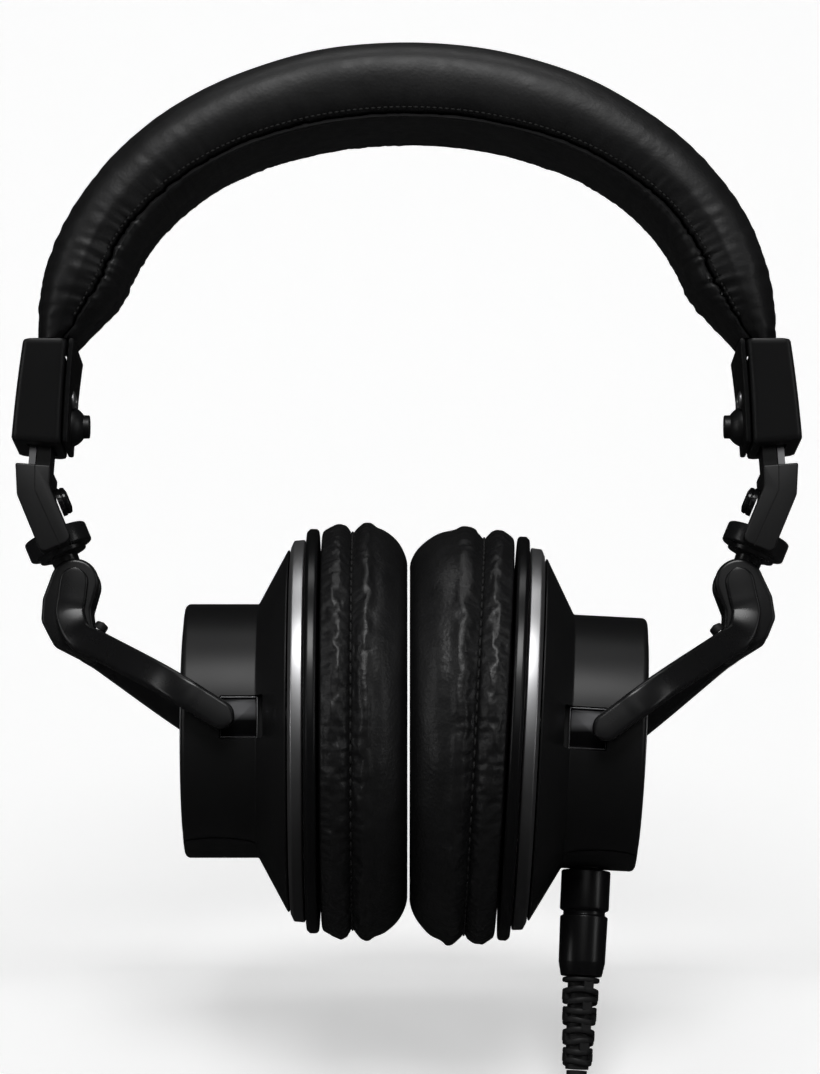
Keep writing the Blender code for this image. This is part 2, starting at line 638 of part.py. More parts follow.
def make_cable(side):
    """The socket, the plug in it and its sleeve, and then the cable itself."""
    at = SOCKET_AT
    down = (0, 0, -1)
    socket = [(0, PLUG_TOP - GAP), (3.9 * MM, PLUG_TOP - GAP), (3.9 * MM, 21 * MM), (0, 21 * MM)]
    obj = turned("cable_socket", socket, down, METAL_PAINT, SMALL_SEGMENTS)
    obj.location = (at, 0, 0)
    side.place(obj, "cup")
    top = PLUG_TOP
    r = PLUG_RADIUS
    barrel = [(0, top), (r, top), (r, top + 8.6 * MM), (r - 0.9 * MM, top + 9.0 * MM),
              (r - 0.9 * MM, top + 9.8 * MM),
              (r - 0.2 * MM, top + 10.2 * MM), (r - 0.4 * MM, top + PLUG_LENGTH), (0, top + PLUG_LENGTH)]
    plug = turned("cup_plug", barrel[::-1], down, PLASTIC, 20)
    plug.location = (at, 0, 0)
    side.place(plug, "cup")
    start = top + PLUG_LENGTH + GAP
    sleeve = [(0, start), (4.1 * MM, start), (3.0 * MM, start + 20 * MM), (0, start + 20 * MM)]
    relief = turned("strain_relief", sleeve[::-1], down, RUBBER, SMALL_SEGMENTS)
    relief.location = (at, 0, 0)
    side.place(relief, "cup")
    make_cord(cup_to_world(side, (at, 0, -start - 20 * MM)), cup_to_world(side, (at, 0, -start)))


def smooth(points, steps):
    """Points on a Catmull-Rom curve through the route's own points."""
    ends = [points[0] * 2 - points[1]] + points + [points[-1] * 2 - points[-2]]
    out = []
    for a, b, c, d in zip(ends, ends[1:], ends[2:], ends[3:]):
        for i in range(steps):
            t = i / steps
            out.append(0.5 * ((2 * b) + (c - a) * t + (2 * a - 5 * b + 4 * c - d) * t ** 2
                              + (3 * b - a - 3 * c + d) * t ** 3))
    return out + [points[-1]]


def make_cord(exit_point, above):
    """The cable from its sleeve down to the floor, where it runs on to its coil."""
    down = (exit_point - above).normalized()
    start = exit_point + down * GAP
    coil_top = FLOOR_Z + COIL_HEIGHT
    lay = coil_top + CABLE_RADIUS + GAP
    centre = Vector((start.x - COIL_ASIDE, COIL_BACK, FLOOR_Z))
    route = [start, start + down * 5 * MM, start + down * 10 * MM + Vector((0.3 * MM, 0, 0))]
    route += [Vector((start.x - aside * MM, 0, lay + lift * MM))
              for aside, lift in ((3.5, 7.5), (10, 1.6), (18, 0))]
    route.append(Vector((centre.x, 0, lay)))
    curve = bpy.data.curves.new("cord", "CURVE")
    curve.dimensions = "3D"
    curve.bevel_depth = CABLE_RADIUS
    curve.bevel_resolution = 2
    curve.use_fill_caps = True
    points = smooth(route, 2)
    spline = curve.splines.new("POLY")
    spline.points.add(len(points) - 1)
    for point, p in zip(spline.points, points):
        point.co = (*p, 1)
    add("cord", curve, RUBBER)
    make_coil(centre)


def make_coil(centre):
    """The cable's spare length as one turned ring on the floor, with the far plug beside it."""
    h = COIL_HEIGHT
    w = COIL_HALF_WIDTH
    half = [(w - 2 * MM, h), (w, h - 3 * MM), (w, 0.8 * MM), (w - 1 * MM, 0)]
    ring = [(COIL_MID + r, z) for r, z in half] + [(COIL_MID - r, z) for r, z in half[::-1]]
    coil = turned("cord_coil", ring, (0, 0, 1), RUBBER, 28, True)
    coil.location = centre
    r = 4.0 * MM
    pin_radius = 1.75 * MM
    plug = [(0, 0), (2.6 * MM, 0), (r, 10 * MM), (r, 26 * MM), (pin_radius, 26 * MM), (pin_radius, 40 * MM),
            (0, 40 * MM)]
    far = turned("far_plug", plug[::-1], (1, 0, 0), STEEL, SMALL_SEGMENTS)
    far.location = centre + Vector((6 * MM, FAR_PLUG_BACK, r))


make_band()
for side in (Side("left", 1, 0.0, 0.0), Side("right", -1, RIGHT_FOLD, RIGHT_TILT)):
    make_end_cap(side)
    make_cap_fittings(side)
    make_slider(side)
    make_block(side)
    make_swivel(side)
    make_yoke(side)
    make_housing(side, side.name == "right")
    make_cup_covers(side)
    make_driver(side)
    make_pad(side)
    if side.name == "right":
        make_cable(side)
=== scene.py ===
"""The looks of the over-ear headphones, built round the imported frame.

Each side is modelled once in the left side's frames and mirrored for the right side, with the
fold and tilt that the right side rests at. Lengths are metres and +X is the cabled side.
"""
import json
import math

import bmesh
import bpy
from mathutils import Matrix, Vector, noise


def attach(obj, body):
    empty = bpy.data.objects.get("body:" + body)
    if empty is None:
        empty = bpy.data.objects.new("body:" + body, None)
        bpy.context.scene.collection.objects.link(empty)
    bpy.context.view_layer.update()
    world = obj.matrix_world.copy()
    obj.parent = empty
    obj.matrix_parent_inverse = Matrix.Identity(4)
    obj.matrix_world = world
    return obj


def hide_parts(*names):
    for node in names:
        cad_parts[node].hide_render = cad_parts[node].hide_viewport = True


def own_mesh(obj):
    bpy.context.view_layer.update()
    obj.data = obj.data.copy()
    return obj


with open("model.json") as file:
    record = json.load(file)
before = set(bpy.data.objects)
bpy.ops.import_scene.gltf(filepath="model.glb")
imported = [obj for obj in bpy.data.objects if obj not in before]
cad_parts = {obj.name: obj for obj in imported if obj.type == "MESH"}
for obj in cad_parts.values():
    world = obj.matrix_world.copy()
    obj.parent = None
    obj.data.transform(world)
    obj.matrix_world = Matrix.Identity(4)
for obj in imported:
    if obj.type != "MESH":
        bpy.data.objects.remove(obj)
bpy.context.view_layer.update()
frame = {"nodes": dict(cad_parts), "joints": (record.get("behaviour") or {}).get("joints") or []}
joints = {joint["name"]: joint for joint in frame["joints"]}

MM = 0.001

# Headband
BAND_OUTER = (82.6 * MM, 65.9 * MM)
BAND_INNER = (65 * MM, 47 * MM)
BAND_CENTRE_Z = -47 * MM
BAND_END = 92.5
BAND_STEPS = 330
END_SPAN = 17                       # degrees over which the padding narrows into the caps
END_SHARE = 0.45                    # and how much of its thickness is left there
END_ANCHOR = 0.93                   # the level that it narrows towards

# End cap and slider
CAP_TOP_Z = -50.5 * MM
CAP_BOTTOM_Z = -72.9 * MM
CAP_THICK = 10.9 * MM
CAP_DEPTH = (33 * MM, 23 * MM)
PLATE_THICK = 1.6 * MM
SLIDE_LEAN = math.radians(4)
SLIDE_X = -81.3 * MM

# Hinge block, swivel and yoke
NECK_LEAN = math.radians(22.7)
BLOCK_HALF = 3.7 * MM
BLOCK_DEPTH = 22 * MM
BLOCK_FOOT = 8.0 * MM
BLOCK_TOP_Z = -77.5 * MM
DISC_RADIUS = 7.2 * MM
DISC_SPAN = (8.2 * MM, 12.75 * MM)
TONGUE_HALF = 3.0 * MM
KNUCKLE_RADIUS = 5.4 * MM
ARM_LEAN = math.radians(32.4)
PIVOT = (33.31 * MM, -32.39 * MM)
LEG_SECTION = (3.25, 1.58, 0.75)    # half width, half depth and corner radius, in mm
ARM_SECTION = (3.1, 2.15, 1.1)
ARM_ROUTE = ((38, 7.2), (33, 11.2), (27, 17.2), (21, 23.2), (15, 28.2), (9.5, 30.7), (5, 30.85),
             (0, 30.85))            # back from the pivot and out from the middle, in mm
STOP_BACK = 34.5 * MM

# Cup, along its axis from the pivot towards the head
SHELL_BACK = -8.7 * MM
SHELL_RADIUS = 28 * MM
CONE_START = 7.5 * MM
CONE_END = 15 * MM
RING_RADIUS = 42.2 * MM
RING_END = 18 * MM
FLANGE_RADIUS = 44.6 * MM
FLANGE_END = 20.8 * MM
PAD_BACK = 21.3 * MM
PAD_SEAM = 28.1 * MM
PAD_FACE = 40.5 * MM
PAD_RADIUS = 45.6 * MM
PAD_HOLE = 23 * MM
PAD_AROUND = 360
PAD_STITCHES = 112
DRIVER_BORE = 19.5 * MM
RECESS = (-0.4 * MM, 8.2 * MM)
RECESS_HALF = 4.7 * MM
RECESS_FLOOR = 25.7 * MM
RIGHT_FOLD = math.radians(4.8)
RIGHT_TILT = math.radians(-3.0)

# Cable
SOCKET_AT = 2.0 * MM
PLUG_TOP = 28.4 * MM
PLUG_LENGTH = 23.2 * MM
PLUG_RADIUS = 5.4 * MM
CABLE_RADIUS = 2.25 * MM
FLOOR_Z = -262 * MM
PITCH = 4.55 * MM                   # from one turn of the coil to the next
COIL_INNER = 16 * MM
COIL_OUTER = 31.9 * MM
COIL_ASIDE = 26 * MM
TURNS_LOW = 4
TURNS_HIGH = 3
FAR_PLUG_BACK = 41.2 * MM
FAR_PLUG_RADIUS = 4 * MM

AROUND = 168

# View, light and backdrop
VIEW_CENTRE = Vector((0.7 * MM, 0, -92.5 * MM))
VIEW_DISTANCE = 1.1
VIEW_PITCH = math.radians(8.5)
VIEW_HEIGHT = 238.6 * MM
SENSOR = 36
WORLD_LIGHT = 0.008
SWEEP = [(9, -216), (30, -197), (62, -186), (105, -175), (200, -140), (320, -50), (370, 60), (380, 200),
         (380, 380)]
SWEEP_HALF = 330 * MM
SWEEP_GLOW = (0.48, 0.49)           # at its foot and at its top


# ---------------------------------------------------------------- materials
class Nodes:
    """A Principled material and the few node shapes that the materials here share."""

    def __init__(self, name, colour, roughness, metallic=0.0):
        self.mat = bpy.data.materials.new(name)
        self.mat.use_nodes = True
        self.tree = self.mat.node_tree
        self.shader = self.tree.nodes["Principled BSDF"]
        self.shader.inputs["Base Color"].default_value = (*colour, 1)
        self.shader.inputs["Roughness"].default_value = roughness
        self.shader.inputs["Metallic"].default_value = metallic
        self.coords = self.tree.nodes.new("ShaderNodeTexCoord")
        self.bump = None

    def link(self, a, b):
        self.tree.links.new(a, b)

    def noise(self, scale, detail=3.0, rough=0.55):
        node = self.tree.nodes.new("ShaderNodeTexNoise")
        node.inputs["Scale"].default_value = scale
        node.inputs["Detail"].default_value = detail
        node.inputs["Roughness"].default_value = rough
        self.link(self.coords.outputs["Object"], node.inputs["Vector"])
        return node.outputs["Fac"]

    def cells(self, scale, feature="F1"):
        node = self.tree.nodes.new("ShaderNodeTexVoronoi")
        node.feature = feature
        node.inputs["Scale"].default_value = scale
        self.link(self.coords.outputs["Object"], node.inputs["Vector"])
        return node.outputs["Distance"]

    def ramp(self, source, low, high):
        node = self.tree.nodes.new("ShaderNodeMapRange")
        node.inputs["To Min"].default_value = low
        node.inputs["To Max"].default_value = high
        self.link(source, node.inputs["Value"])
        return node.outputs["Result"]

    def relief(self, height, strength, distance):
        """Adds a bump under the ones already there."""
        node = self.tree.nodes.new("ShaderNodeBump")
        node.inputs["Strength"].default_value = strength
        node.inputs["Distance"].default_value = distance
        self.link(height, node.inputs["Height"])
        if self.bump:
            self.link(self.bump, node.inputs["Normal"])
        self.bump = node.outputs["Normal"]
        self.link(self.bump, self.shader.inputs["Normal"])

    def vary_roughness(self, scale, low, high):
        self.link(self.ramp(self.noise(scale, 4), low, high), self.shader.inputs["Roughness"])

    def sharpened(self, source, first, last):
        """0 below first and 1 above last."""
        node = self.tree.nodes.new("ShaderNodeMapRange")
        node.inputs["From Min"].default_value = first
        node.inputs["From Max"].default_value = last
        self.link(source, node.inputs["Value"])
        return node.outputs["Result"]

    def vary_colour(self, scale, dark, light):
        self.blend(self.noise(scale, 5), dark, light)

    def blend(self, share, dark, light):
        mix = self.tree.nodes.new("ShaderNodeMix")
        mix.data_type = "RGBA"
        mix.inputs["A"].default_value = (*dark, 1)
        mix.inputs["B"].default_value = (*light, 1)
        self.link(share, mix.inputs["Factor"])
        self.link(mix.outputs["Result"], self.shader.inputs["Base Color"])


def leather(name, grain, rough, crease):
    n = Nodes(name, (0.010, 0.010, 0.011), 0.45)
    n.vary_colour(60, (0.0065, 0.0065, 0.007), (0.013, 0.013, 0.0135))
    n.vary_roughness(260, rough - 0.12, rough + 0.14)
    n.relief(n.cells(1250), grain, 0.00012)
    n.relief(n.noise(620, 5, 0.65), grain * 1.2, 0.00018)
    n.relief(n.noise(190, 4, 0.6), crease, 0.00045)
    n.relief(n.noise(70, 3), 0.25, 0.0005)
    return n.mat


def plastic(name, rough, grain=0.12, colour=(0.0075, 0.0075, 0.008)):
    n = Nodes(name, colour, rough)
    n.vary_roughness(90, rough - 0.03, rough + 0.04)
    n.relief(n.noise(2600, 2), grain, 0.00004)
    return n.mat


def metal(name, colour, rough, streak=0.04):
    n = Nodes(name, colour, rough, 1.0)
    n.vary_roughness(140, max(rough - streak, 0.03), rough + streak)
    n.relief(n.noise(900, 2), 0.05, 0.00003)
    return n.mat


def shade_to_highlight_metal(name, low, high):
    """A satin metal with painted shade at the foot of a piece, going to a painted highlight at its top."""
    n = Nodes(name, low, 0.32, 0.8)
    split = n.tree.nodes.new("ShaderNodeSeparateXYZ")
    n.link(n.coords.outputs["Generated"], split.inputs["Vector"])
    n.blend(n.sharpened(split.outputs["Z"], 0.42, 0.62), low, high)
    n.relief(n.noise(900, 2), 0.05, 0.00003)
    return n.mat


def cloth(name):
    n = Nodes(name, (0.016, 0.016, 0.016), 0.9)
    n.relief(n.cells(1700), 0.5, 0.0002)
    return n.mat


BAND_LEATHER = leather("band_leather", 0.16, 0.47, 0.16)
PAD_LEATHER = leather("pad_leather", 0.34, 0.42, 0.34)
SHELL_PLASTIC = plastic("shell_plastic", 0.42, 0.2)
TRIM_PLASTIC = plastic("trim_plastic", 0.30, 0.08, (0.005, 0.005, 0.0055))
ARM_PAINT = plastic("arm_paint", 0.27, 0.1, (0.010, 0.010, 0.0105))
GLOSS = plastic("gloss_plastic", 0.16, 0.02)
PLATE_PLASTIC = plastic("plate_plastic", 0.42, 0.05, (0.004, 0.004, 0.0045))
RUBBER = plastic("rubber", 0.55, 0.3)
# recess plates: painted shade at their foot and a painted highlight at their top
SHADED_LIT_RECESS_PLATE = shade_to_highlight_metal("recess_plate", (0.010, 0.010, 0.011), (0.26, 0.26, 0.27))
CHROME = metal("dark_chrome", (0.62, 0.62, 0.63), 0.42)
BRIGHT = metal("bright_metal", (0.34, 0.34, 0.35), 0.25)
STEEL = metal("brushed_steel", (0.55, 0.55, 0.56), 0.30)
THREAD = plastic("thread", 0.75, 0.3, (0.012, 0.012, 0.012))
CLOTH = cloth("driver_cloth")


# ---------------------------------------------------------------- mesh helpers
def from_bmesh(name, bm, mat, smooth=30):
    bmesh.ops.recalc_face_normals(bm, faces=bm.faces)
    mesh = bpy.data.meshes.new(name)
    bm.to_mesh(mesh)
    bm.free()
    return from_mesh(name, mesh, mat, smooth)


def from_mesh(name, mesh, mat, smooth=30):
    obj = bpy.data.objects.new(name, mesh)
    bpy.context.scene.collection.objects.link(obj)
    mesh.materials.clear()
    mesh.materials.append(mat)
    mesh.shade_smooth()
    mesh.set_sharp_from_angle(angle=math.radians(smooth))
    return obj


def grid(name, rings, mat, wrap_rings=False, wrap_points=True, caps=False, smooth=30):
    """A surface through rings of points that match one to one."""
    bm = bmesh.new()
    loops = [[bm.verts.new(p) for p in ring] for ring in rings]
    count = len(rings[0])
    pairs = list(zip(loops, loops[1:]))
    if wrap_rings:
        pairs.append((loops[-1], loops[0]))
    for low, high in pairs:
        for i in range(count if wrap_points else count - 1):
            j = (i + 1) % count
            bm.faces.new((low[i], low[j], high[j], high[i]))
    if caps:
        bm.faces.new(loops[0])
        bm.faces.new(loops[-1])
    return from_bmesh(name, bm, mat, smooth)


def round_corners(points, closed, steps=4):
    """Points (a, b, radius) as (a, b), each corner rounded to its radius."""
    out = []
    count = len(points)
    for i, (a, b, radius) in enumerate(points):
        here = Vector((a, b))
        if radius <= 0 or (not closed and i in (0, count - 1)):
            out.append((a, b))
            continue
        before = Vector(points[i - 1][:2]) - here
        after = Vector(points[(i + 1) % count][:2]) - here
        half = before.angle(after) / 2
        reach = min(radius / math.tan(half), before.length * 0.49, after.length * 0.49)
        size = reach * math.tan(half)
        one = here + before.normalized() * reach
        two = here + after.normalized() * reach
        centre = here + (before.normalized() + after.normalized()).normalized() * (size / math.sin(half))
        start = one - centre
        sweep = start.angle_signed(two - centre)
        for k in range(steps + 1):
            turn = Matrix.Rotation(-sweep * k / steps, 2)
            out.append(tuple(centre + turn @ start))
    return out


def turned(name, profile, mat, axis=(1, 0, 0), at=(0, 0, 0), closed=False, around=AROUND, smooth=30,
           steps=4):
    """A profile of (radius, height, corner) turned about an axis; open ends on the axis are closed."""
    points = round_corners(profile, closed, steps)
    turn = Vector((0, 0, 1)).rotation_difference(Vector(axis).normalized()).to_matrix()
    rings = []
    for k in range(around):
        a = 2 * math.pi * k / around
        rings.append([Vector(at) + turn @ Vector((r * math.cos(a), r * math.sin(a), h)) for r, h in points])
    obj = grid(name, rings, mat, True, closed, False, smooth)
    if not closed:
        bm = bmesh.new()
        bm.from_mesh(obj.data)
        bmesh.ops.remove_doubles(bm, verts=bm.verts, dist=1e-7)
        bmesh.ops.recalc_face_normals(bm, faces=bm.faces)
        bm.to_mesh(obj.data)
        bm.free()
        obj.data.shade_smooth()
        obj.data.set_sharp_from_angle(angle=math.radians(smooth))
    return obj


def baked(obj, smooth=30):
    """Works the object's modifiers into its mesh."""
    graph = bpy.context.evaluated_depsgraph_get()
    mesh = bpy.data.meshes.new_from_object(obj.evaluated_get(graph))
    obj.modifiers.clear()
    obj.data = mesh
    mesh.shade_smooth()
    mesh.set_sharp_from_angle(angle=math.radians(smooth))
    return obj


def bevelled(obj, width, segments=3, angle=35):
    mod = obj.modifiers.new("round", "BEVEL")
    mod.width = width
    mod.segments = segments
    mod.limit_method = "ANGLE"
    mod.angle_limit = math.radians(angle)
    return baked(obj)


def cut(obj, tools, operation="DIFFERENCE"):
    for tool in tools:
        mod = obj.modifiers.new("cut", "BOOLEAN")
        mod.object = tool
        mod.operation = operation
        mod.solver = "EXACT"
    baked(obj)
    for tool in tools:
        bpy.data.objects.remove(tool)
    return obj


def slab(name, outline, half, mat, centre_y=0.0, width=0.0, segments=3):
    """A flat (x, z) outline, half deep to both sides of centre_y, with rounded edges."""
    rings = [[Vector((x, centre_y + y, z)) for x, z in outline] for y in (-half, half)]
    obj = grid(name, rings, mat, caps=True)
    return bevelled(obj, width, segments) if width else obj


def block(name, low, high, mat=None):
    bm = bmesh.new()
    bmesh.ops.create_cube(bm, size=1)
    low, high = Vector(low), Vector(high)
    spread = Matrix.Translation((low + high) / 2) @ Matrix.Diagonal((*(high - low), 1))
    bmesh.ops.transform(bm, matrix=spread, verts=bm.verts)
    return from_bmesh(name, bm, mat or TRIM_PLASTIC)


def arc(centre, radius, first, last, steps):
    turn = [math.radians(first + (last - first) * i / steps) for i in range(steps + 1)]
    return [(centre[0] + radius * math.cos(a), centre[1] + radius * math.sin(a)) for a in turn]


def ease(share):
    share = min(max(share, 0.0), 1.0)
    return share * share * (3 - 2 * share)


def mm(rows):
    return [tuple(value * MM for value in row) for row in rows]


def rectangle(low, high, corner=0):
    """The corners (a, b, radius) of a rectangle between two opposite ones."""
    return [(low[0], low[1], corner), (high[0], low[1], corner), (high[0], high[1], corner),
            (low[0], high[1], corner)]


def smooth_curve(points, steps):
    """Points on a Catmull-Rom curve through the given ones."""
    ends = [points[0] * 2 - points[1]] + list(points) + [points[-1] * 2 - points[-2]]
    out = []
    for a, b, c, d in zip(ends, ends[1:], ends[2:], ends[3:]):
        for i in range(steps):
            t = i / steps
            out.append(0.5 * ((2 * b) + (c - a) * t + (2 * a - 5 * b + 4 * c - d) * t ** 2
                              + (3 * b - a - 3 * c + d) * t ** 3))
    return out + [points[-1]]


# ---------------------------------------------------------------- sides
class Side:
    """Puts pieces modelled in the left side's frames where they belong on one side."""

    def __init__(self, name):
        self.name = name
        self.right = name == "right"
        sign = -1 if self.right else 1
        fold = RIGHT_FOLD if self.right else 0.0
        tilt = RIGHT_TILT if self.right else 0.0
        knuckle = Vector(joints[f"{name}_fold"]["pos_m"])
        pivot = Vector(joints[f"{name}_tilt"]["pos_m"])
        knuckle.x *= sign
        pivot.x *= sign
        self.knuckle = knuckle
        self.pivot_from_knuckle = Matrix.Rotation(-fold, 3, "Y") @ (pivot - knuckle)
        self.matrices = {
            "fixed": Matrix(),
            "yoke": Matrix.Translation(knuckle) @ Matrix.Rotation(fold, 4, "Y"),
            "cup": Matrix.Translation(pivot) @ Matrix.Rotation(tilt, 4, "Y"),
        }

    def put(self, obj, where, body, slot, replaces=()):
        mesh = obj.data
        mesh.transform(self.matrices[where])
        if self.right:
            mesh.transform(Matrix.Scale(-1, 4, (1, 0, 0)))
            mesh.flip_normals()
        obj.name = f"{self.name}_{obj.name.split('.')[0]}_shape"
        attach(obj, body if body == "headband" else f"{self.name}_{body}")
        if replaces:
            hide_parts(*[f"{self.name}_{node}" for node in replaces])
        return obj

    def world(self, where, point):
        x, y, z = self.matrices[where] @ Vector(point)
        return Vector((-x if self.right else x, y, z))


# ---------------------------------------------------------------- camera, light and floor
def make_camera():
    away = Vector((0, -math.cos(VIEW_PITCH), -math.sin(VIEW_PITCH)))
    data = bpy.data.cameras.new("camera")
    data.sensor_fit = "VERTICAL"
    data.sensor_height = SENSOR
    data.lens = SENSOR * VIEW_DISTANCE / VIEW_HEIGHT
    camera = bpy.data.objects.new("camera", data)
    camera.location = VIEW_CENTRE + away * VIEW_DISTANCE
    camera.rotation_euler = (-away).to_track_quat("-Z", "Y").to_euler()
    bpy.context.scene.collection.objects.link(camera)
    bpy.context.scene.camera = camera


def softbox(name, at, size, power, towards=(0, 0, -0.09)):
    data = bpy.data.lights.new(name, "AREA")
    data.shape = "RECTANGLE"
    data.size, data.size_y = size
    data.energy = power
    lamp = bpy.data.objects.new(name, data)
    lamp.location = at
    lamp.rotation_euler = (Vector(towards) - Vector(at)).to_track_quat("-Z", "Y").to_euler()
    bpy.context.scene.collection.objects.link(lamp)


def make_light():
    world = bpy.data.worlds.new("studio")
    world.use_nodes = True
    world.node_tree.nodes["Background"].inputs["Color"].default_value = (1, 1, 1, 1)
    world.node_tree.nodes["Background"].inputs["Strength"].default_value = WORLD_LIGHT
    bpy.context.scene.world = world
    bpy.context.scene.view_settings.view_transform = "Standard"
    softbox("key", (0, -1.0, 0.85), (0.7, 0.5), 8.5)
    softbox("top", (0, 0.05, 1.0), (0.7, 0.3), 1.6)
    softbox("left_strip", (-0.9, -0.45, 0.1), (0.16, 0.8), 1.0)
    softbox("right_strip", (0.95, -0.5, 0.1), (0.16, 0.8), 0.9)
    softbox("front_fill", (0.1, -1.5, 0.2), (0.7, 0.4), 0.45)


def paper(name, glow=(0, 0)):
    """White paper, which may glow a little more with height to even out the backdrop."""
    n = Nodes(name, (0.8, 0.8, 0.8), 0.9)
    n.shader.inputs["Emission Color"].default_value = (1, 1, 1, 1)
    split = n.tree.nodes.new("ShaderNodeSeparateXYZ")
    n.link(n.coords.outputs["Object"], split.inputs["Vector"])
    rise = n.sharpened(split.outputs["Z"], SWEEP[0][1] * MM, SWEEP[-1][1] * MM)
    n.link(n.ramp(rise, *glow), n.shader.inputs["Emission Strength"])
    n.relief(n.noise(300, 2), 0.05, 0.0002)
    return n.mat


def make_floor():
    """A level floor under the cable, and a glowing sweep that rises behind the headphones."""
    bm = bmesh.new()
    bmesh.ops.create_grid(bm, x_segments=1, y_segments=1, size=0.8)
    floor = from_bmesh("floor", bm, paper("floor_paper"))
    floor.location.z = FLOOR_Z
    profile = smooth_curve([Vector(point) * MM for point in SWEEP], 10)
    rings = [[Vector((x, y, z)) for y, z in profile] for x in (-SWEEP_HALF, SWEEP_HALF)]
    sweep = grid("sweep", rings, paper("sweep_paper", SWEEP_GLOW), wrap_points=False)
    for stage in (floor, sweep):
        stage.visible_glossy = False


# ---------------------------------------------------------------- cable
def coil_points(centre):
    """The high turns run inwards, the low ones outwards, then a tail to the plug at the rear."""
    points = []
    low = CABLE_RADIUS
    high = low + CABLE_RADIUS * 2

    def add(radius, share, z):
        angle = -2 * math.pi * share
        points.append(centre + Vector((radius * math.sin(angle), -radius * math.cos(angle), z)))

    per_turn = 20
    for i in range(TURNS_HIGH * per_turn):
        share = i / per_turn
        add(COIL_OUTER - PITCH * share, share, high)
    inner = COIL_OUTER - PITCH * TURNS_HIGH
    for i in range(TURNS_LOW * per_turn + per_turn // 4):
        share = i / per_turn
        drop = ease(share / 0.35)
        add(inner + (COIL_INNER + PITCH * share - inner) * drop, share, high + (low - high) * drop)
    start = COIL_INNER + PITCH * (TURNS_LOW + 0.25)
    for i in range(per_turn // 4 + 1):
        out = ease(i / (per_turn // 4))
        add(start + (FAR_PLUG_BACK - start) * out, 0.25 + i / per_turn, low + (FAR_PLUG_RADIUS - low) * out)
    return points + [points[-1] + Vector((3 * MM, 0, 0)), points[-1] + Vector((5.8 * MM, 0, 0))]


def make_cable(side):
    down = (0, 0, -1)
    top = PLUG_TOP
    end = PLUG_TOP + PLUG_LENGTH
    r = PLUG_RADIUS
    barrel = [(0, top, 0), (r, top, 0.4 * MM), (r, top + 8.6 * MM, 0.5 * MM),
              (r - 0.8 * MM, top + 9.0 * MM, 0.2 * MM),
              (r - 0.8 * MM, top + 9.8 * MM, 0.2 * MM), (r - 0.15 * MM, top + 10.2 * MM, 0.3 * MM),
              (r - 0.3 * MM, end - 3 * MM, 2 * MM), (r - 0.9 * MM, end, 0.3 * MM), (0, end, 0)]
    plug = turned("cup_plug", barrel, TRIM_PLASTIC, down, (SOCKET_AT, 0, 0), around=72)
    plug = side.put(plug, "cup", "cup", "satin_plastic", ("cup_plug",))
    collar = [(0, 22 * MM, 0), (3.9 * MM, 22 * MM, 0), (3.9 * MM, top - 0.3 * MM, 0.3 * MM),
              (0, top - 0.3 * MM, 0)]
    socket = turned("cable_socket", collar, ARM_PAINT, down, (SOCKET_AT, 0, 0), around=48)
    side.put(socket, "cup", "cup", "painted_metal", ("cable_socket",))
    relief = make_strain_relief(end + 0.3 * MM)
    side.put(relief, "cup", "cup", "rubber", ("strain_relief",))
    above = side.world("cup", (SOCKET_AT, 0, -end - 0.3 * MM))
    tip = side.world("cup", (SOCKET_AT, 0, -end - 20.3 * MM))
    make_cord(above, tip)


def make_strain_relief(start):
    """A tapered sleeve cut by staggered slots: rings joined by ribs on alternate sides."""
    length = 20 * MM
    rings = 9
    pitch = length / rings
    pieces = []
    core = [(0, start, 0), (2.9 * MM, start, 0), (2.55 * MM, start + length, 0), (0, start + length, 0)]
    pieces.append(turned("strain_relief", core, RUBBER, (0, 0, -1), (SOCKET_AT, 0, 0), around=40))
    for i in range(rings):
        share = i / (rings - 1)
        radius = 4.1 * MM - 0.9 * MM * share
        top = start + pitch * i
        tall = pitch * (0.62 if i else 0.5)
        tube = []
        across = 40
        for k in range(across):
            a = 2 * math.pi * k / across
            wave = 0.28 * MM * math.sin(a * 2 + i * math.pi / 2) if i else 0
            section = round_corners([(radius, 0, 0.35 * MM), (radius, tall, 0.35 * MM), (2.4 * MM, tall, 0),
                                     (2.4 * MM, 0, 0)], True, 2)
            tube.append([Vector((SOCKET_AT + r * math.cos(a), r * math.sin(a), -(top + h + wave)))
                         for r, h in section])
        pieces.append(grid("ring", tube, RUBBER, True, True))
        if i < rings - 1:
            turn = math.radians(100 * (i % 2) - 115)
            for flip in (0, math.pi):
                a = turn + flip
                rib = block("rib", (radius - 1.5 * MM, -1.1 * MM, -(top + pitch + 0.5 * MM)),
                            (radius - 0.15 * MM, 1.1 * MM, -(top + tall - 0.4 * MM)), RUBBER)
                rib.data.transform(Matrix.Translation((SOCKET_AT, 0, 0)) @ Matrix.Rotation(a, 4, "Z"))
                pieces.append(rib)
    return joined(pieces)


def joined(pieces):
    """The pieces as one object, with the first one's name and material."""
    first = pieces[0]
    bm = bmesh.new()
    for piece in pieces:
        bm.from_mesh(piece.data)
    mesh = bpy.data.meshes.new(first.name)
    bm.to_mesh(mesh)
    bm.free()
    mesh.materials.append(first.data.materials[0])
    for piece in pieces[1:]:
        bpy.data.objects.remove(piece)
    first.data = mesh
    mesh.shade_smooth()
    mesh.set_sharp_from_angle(angle=math.radians(35))
    return first


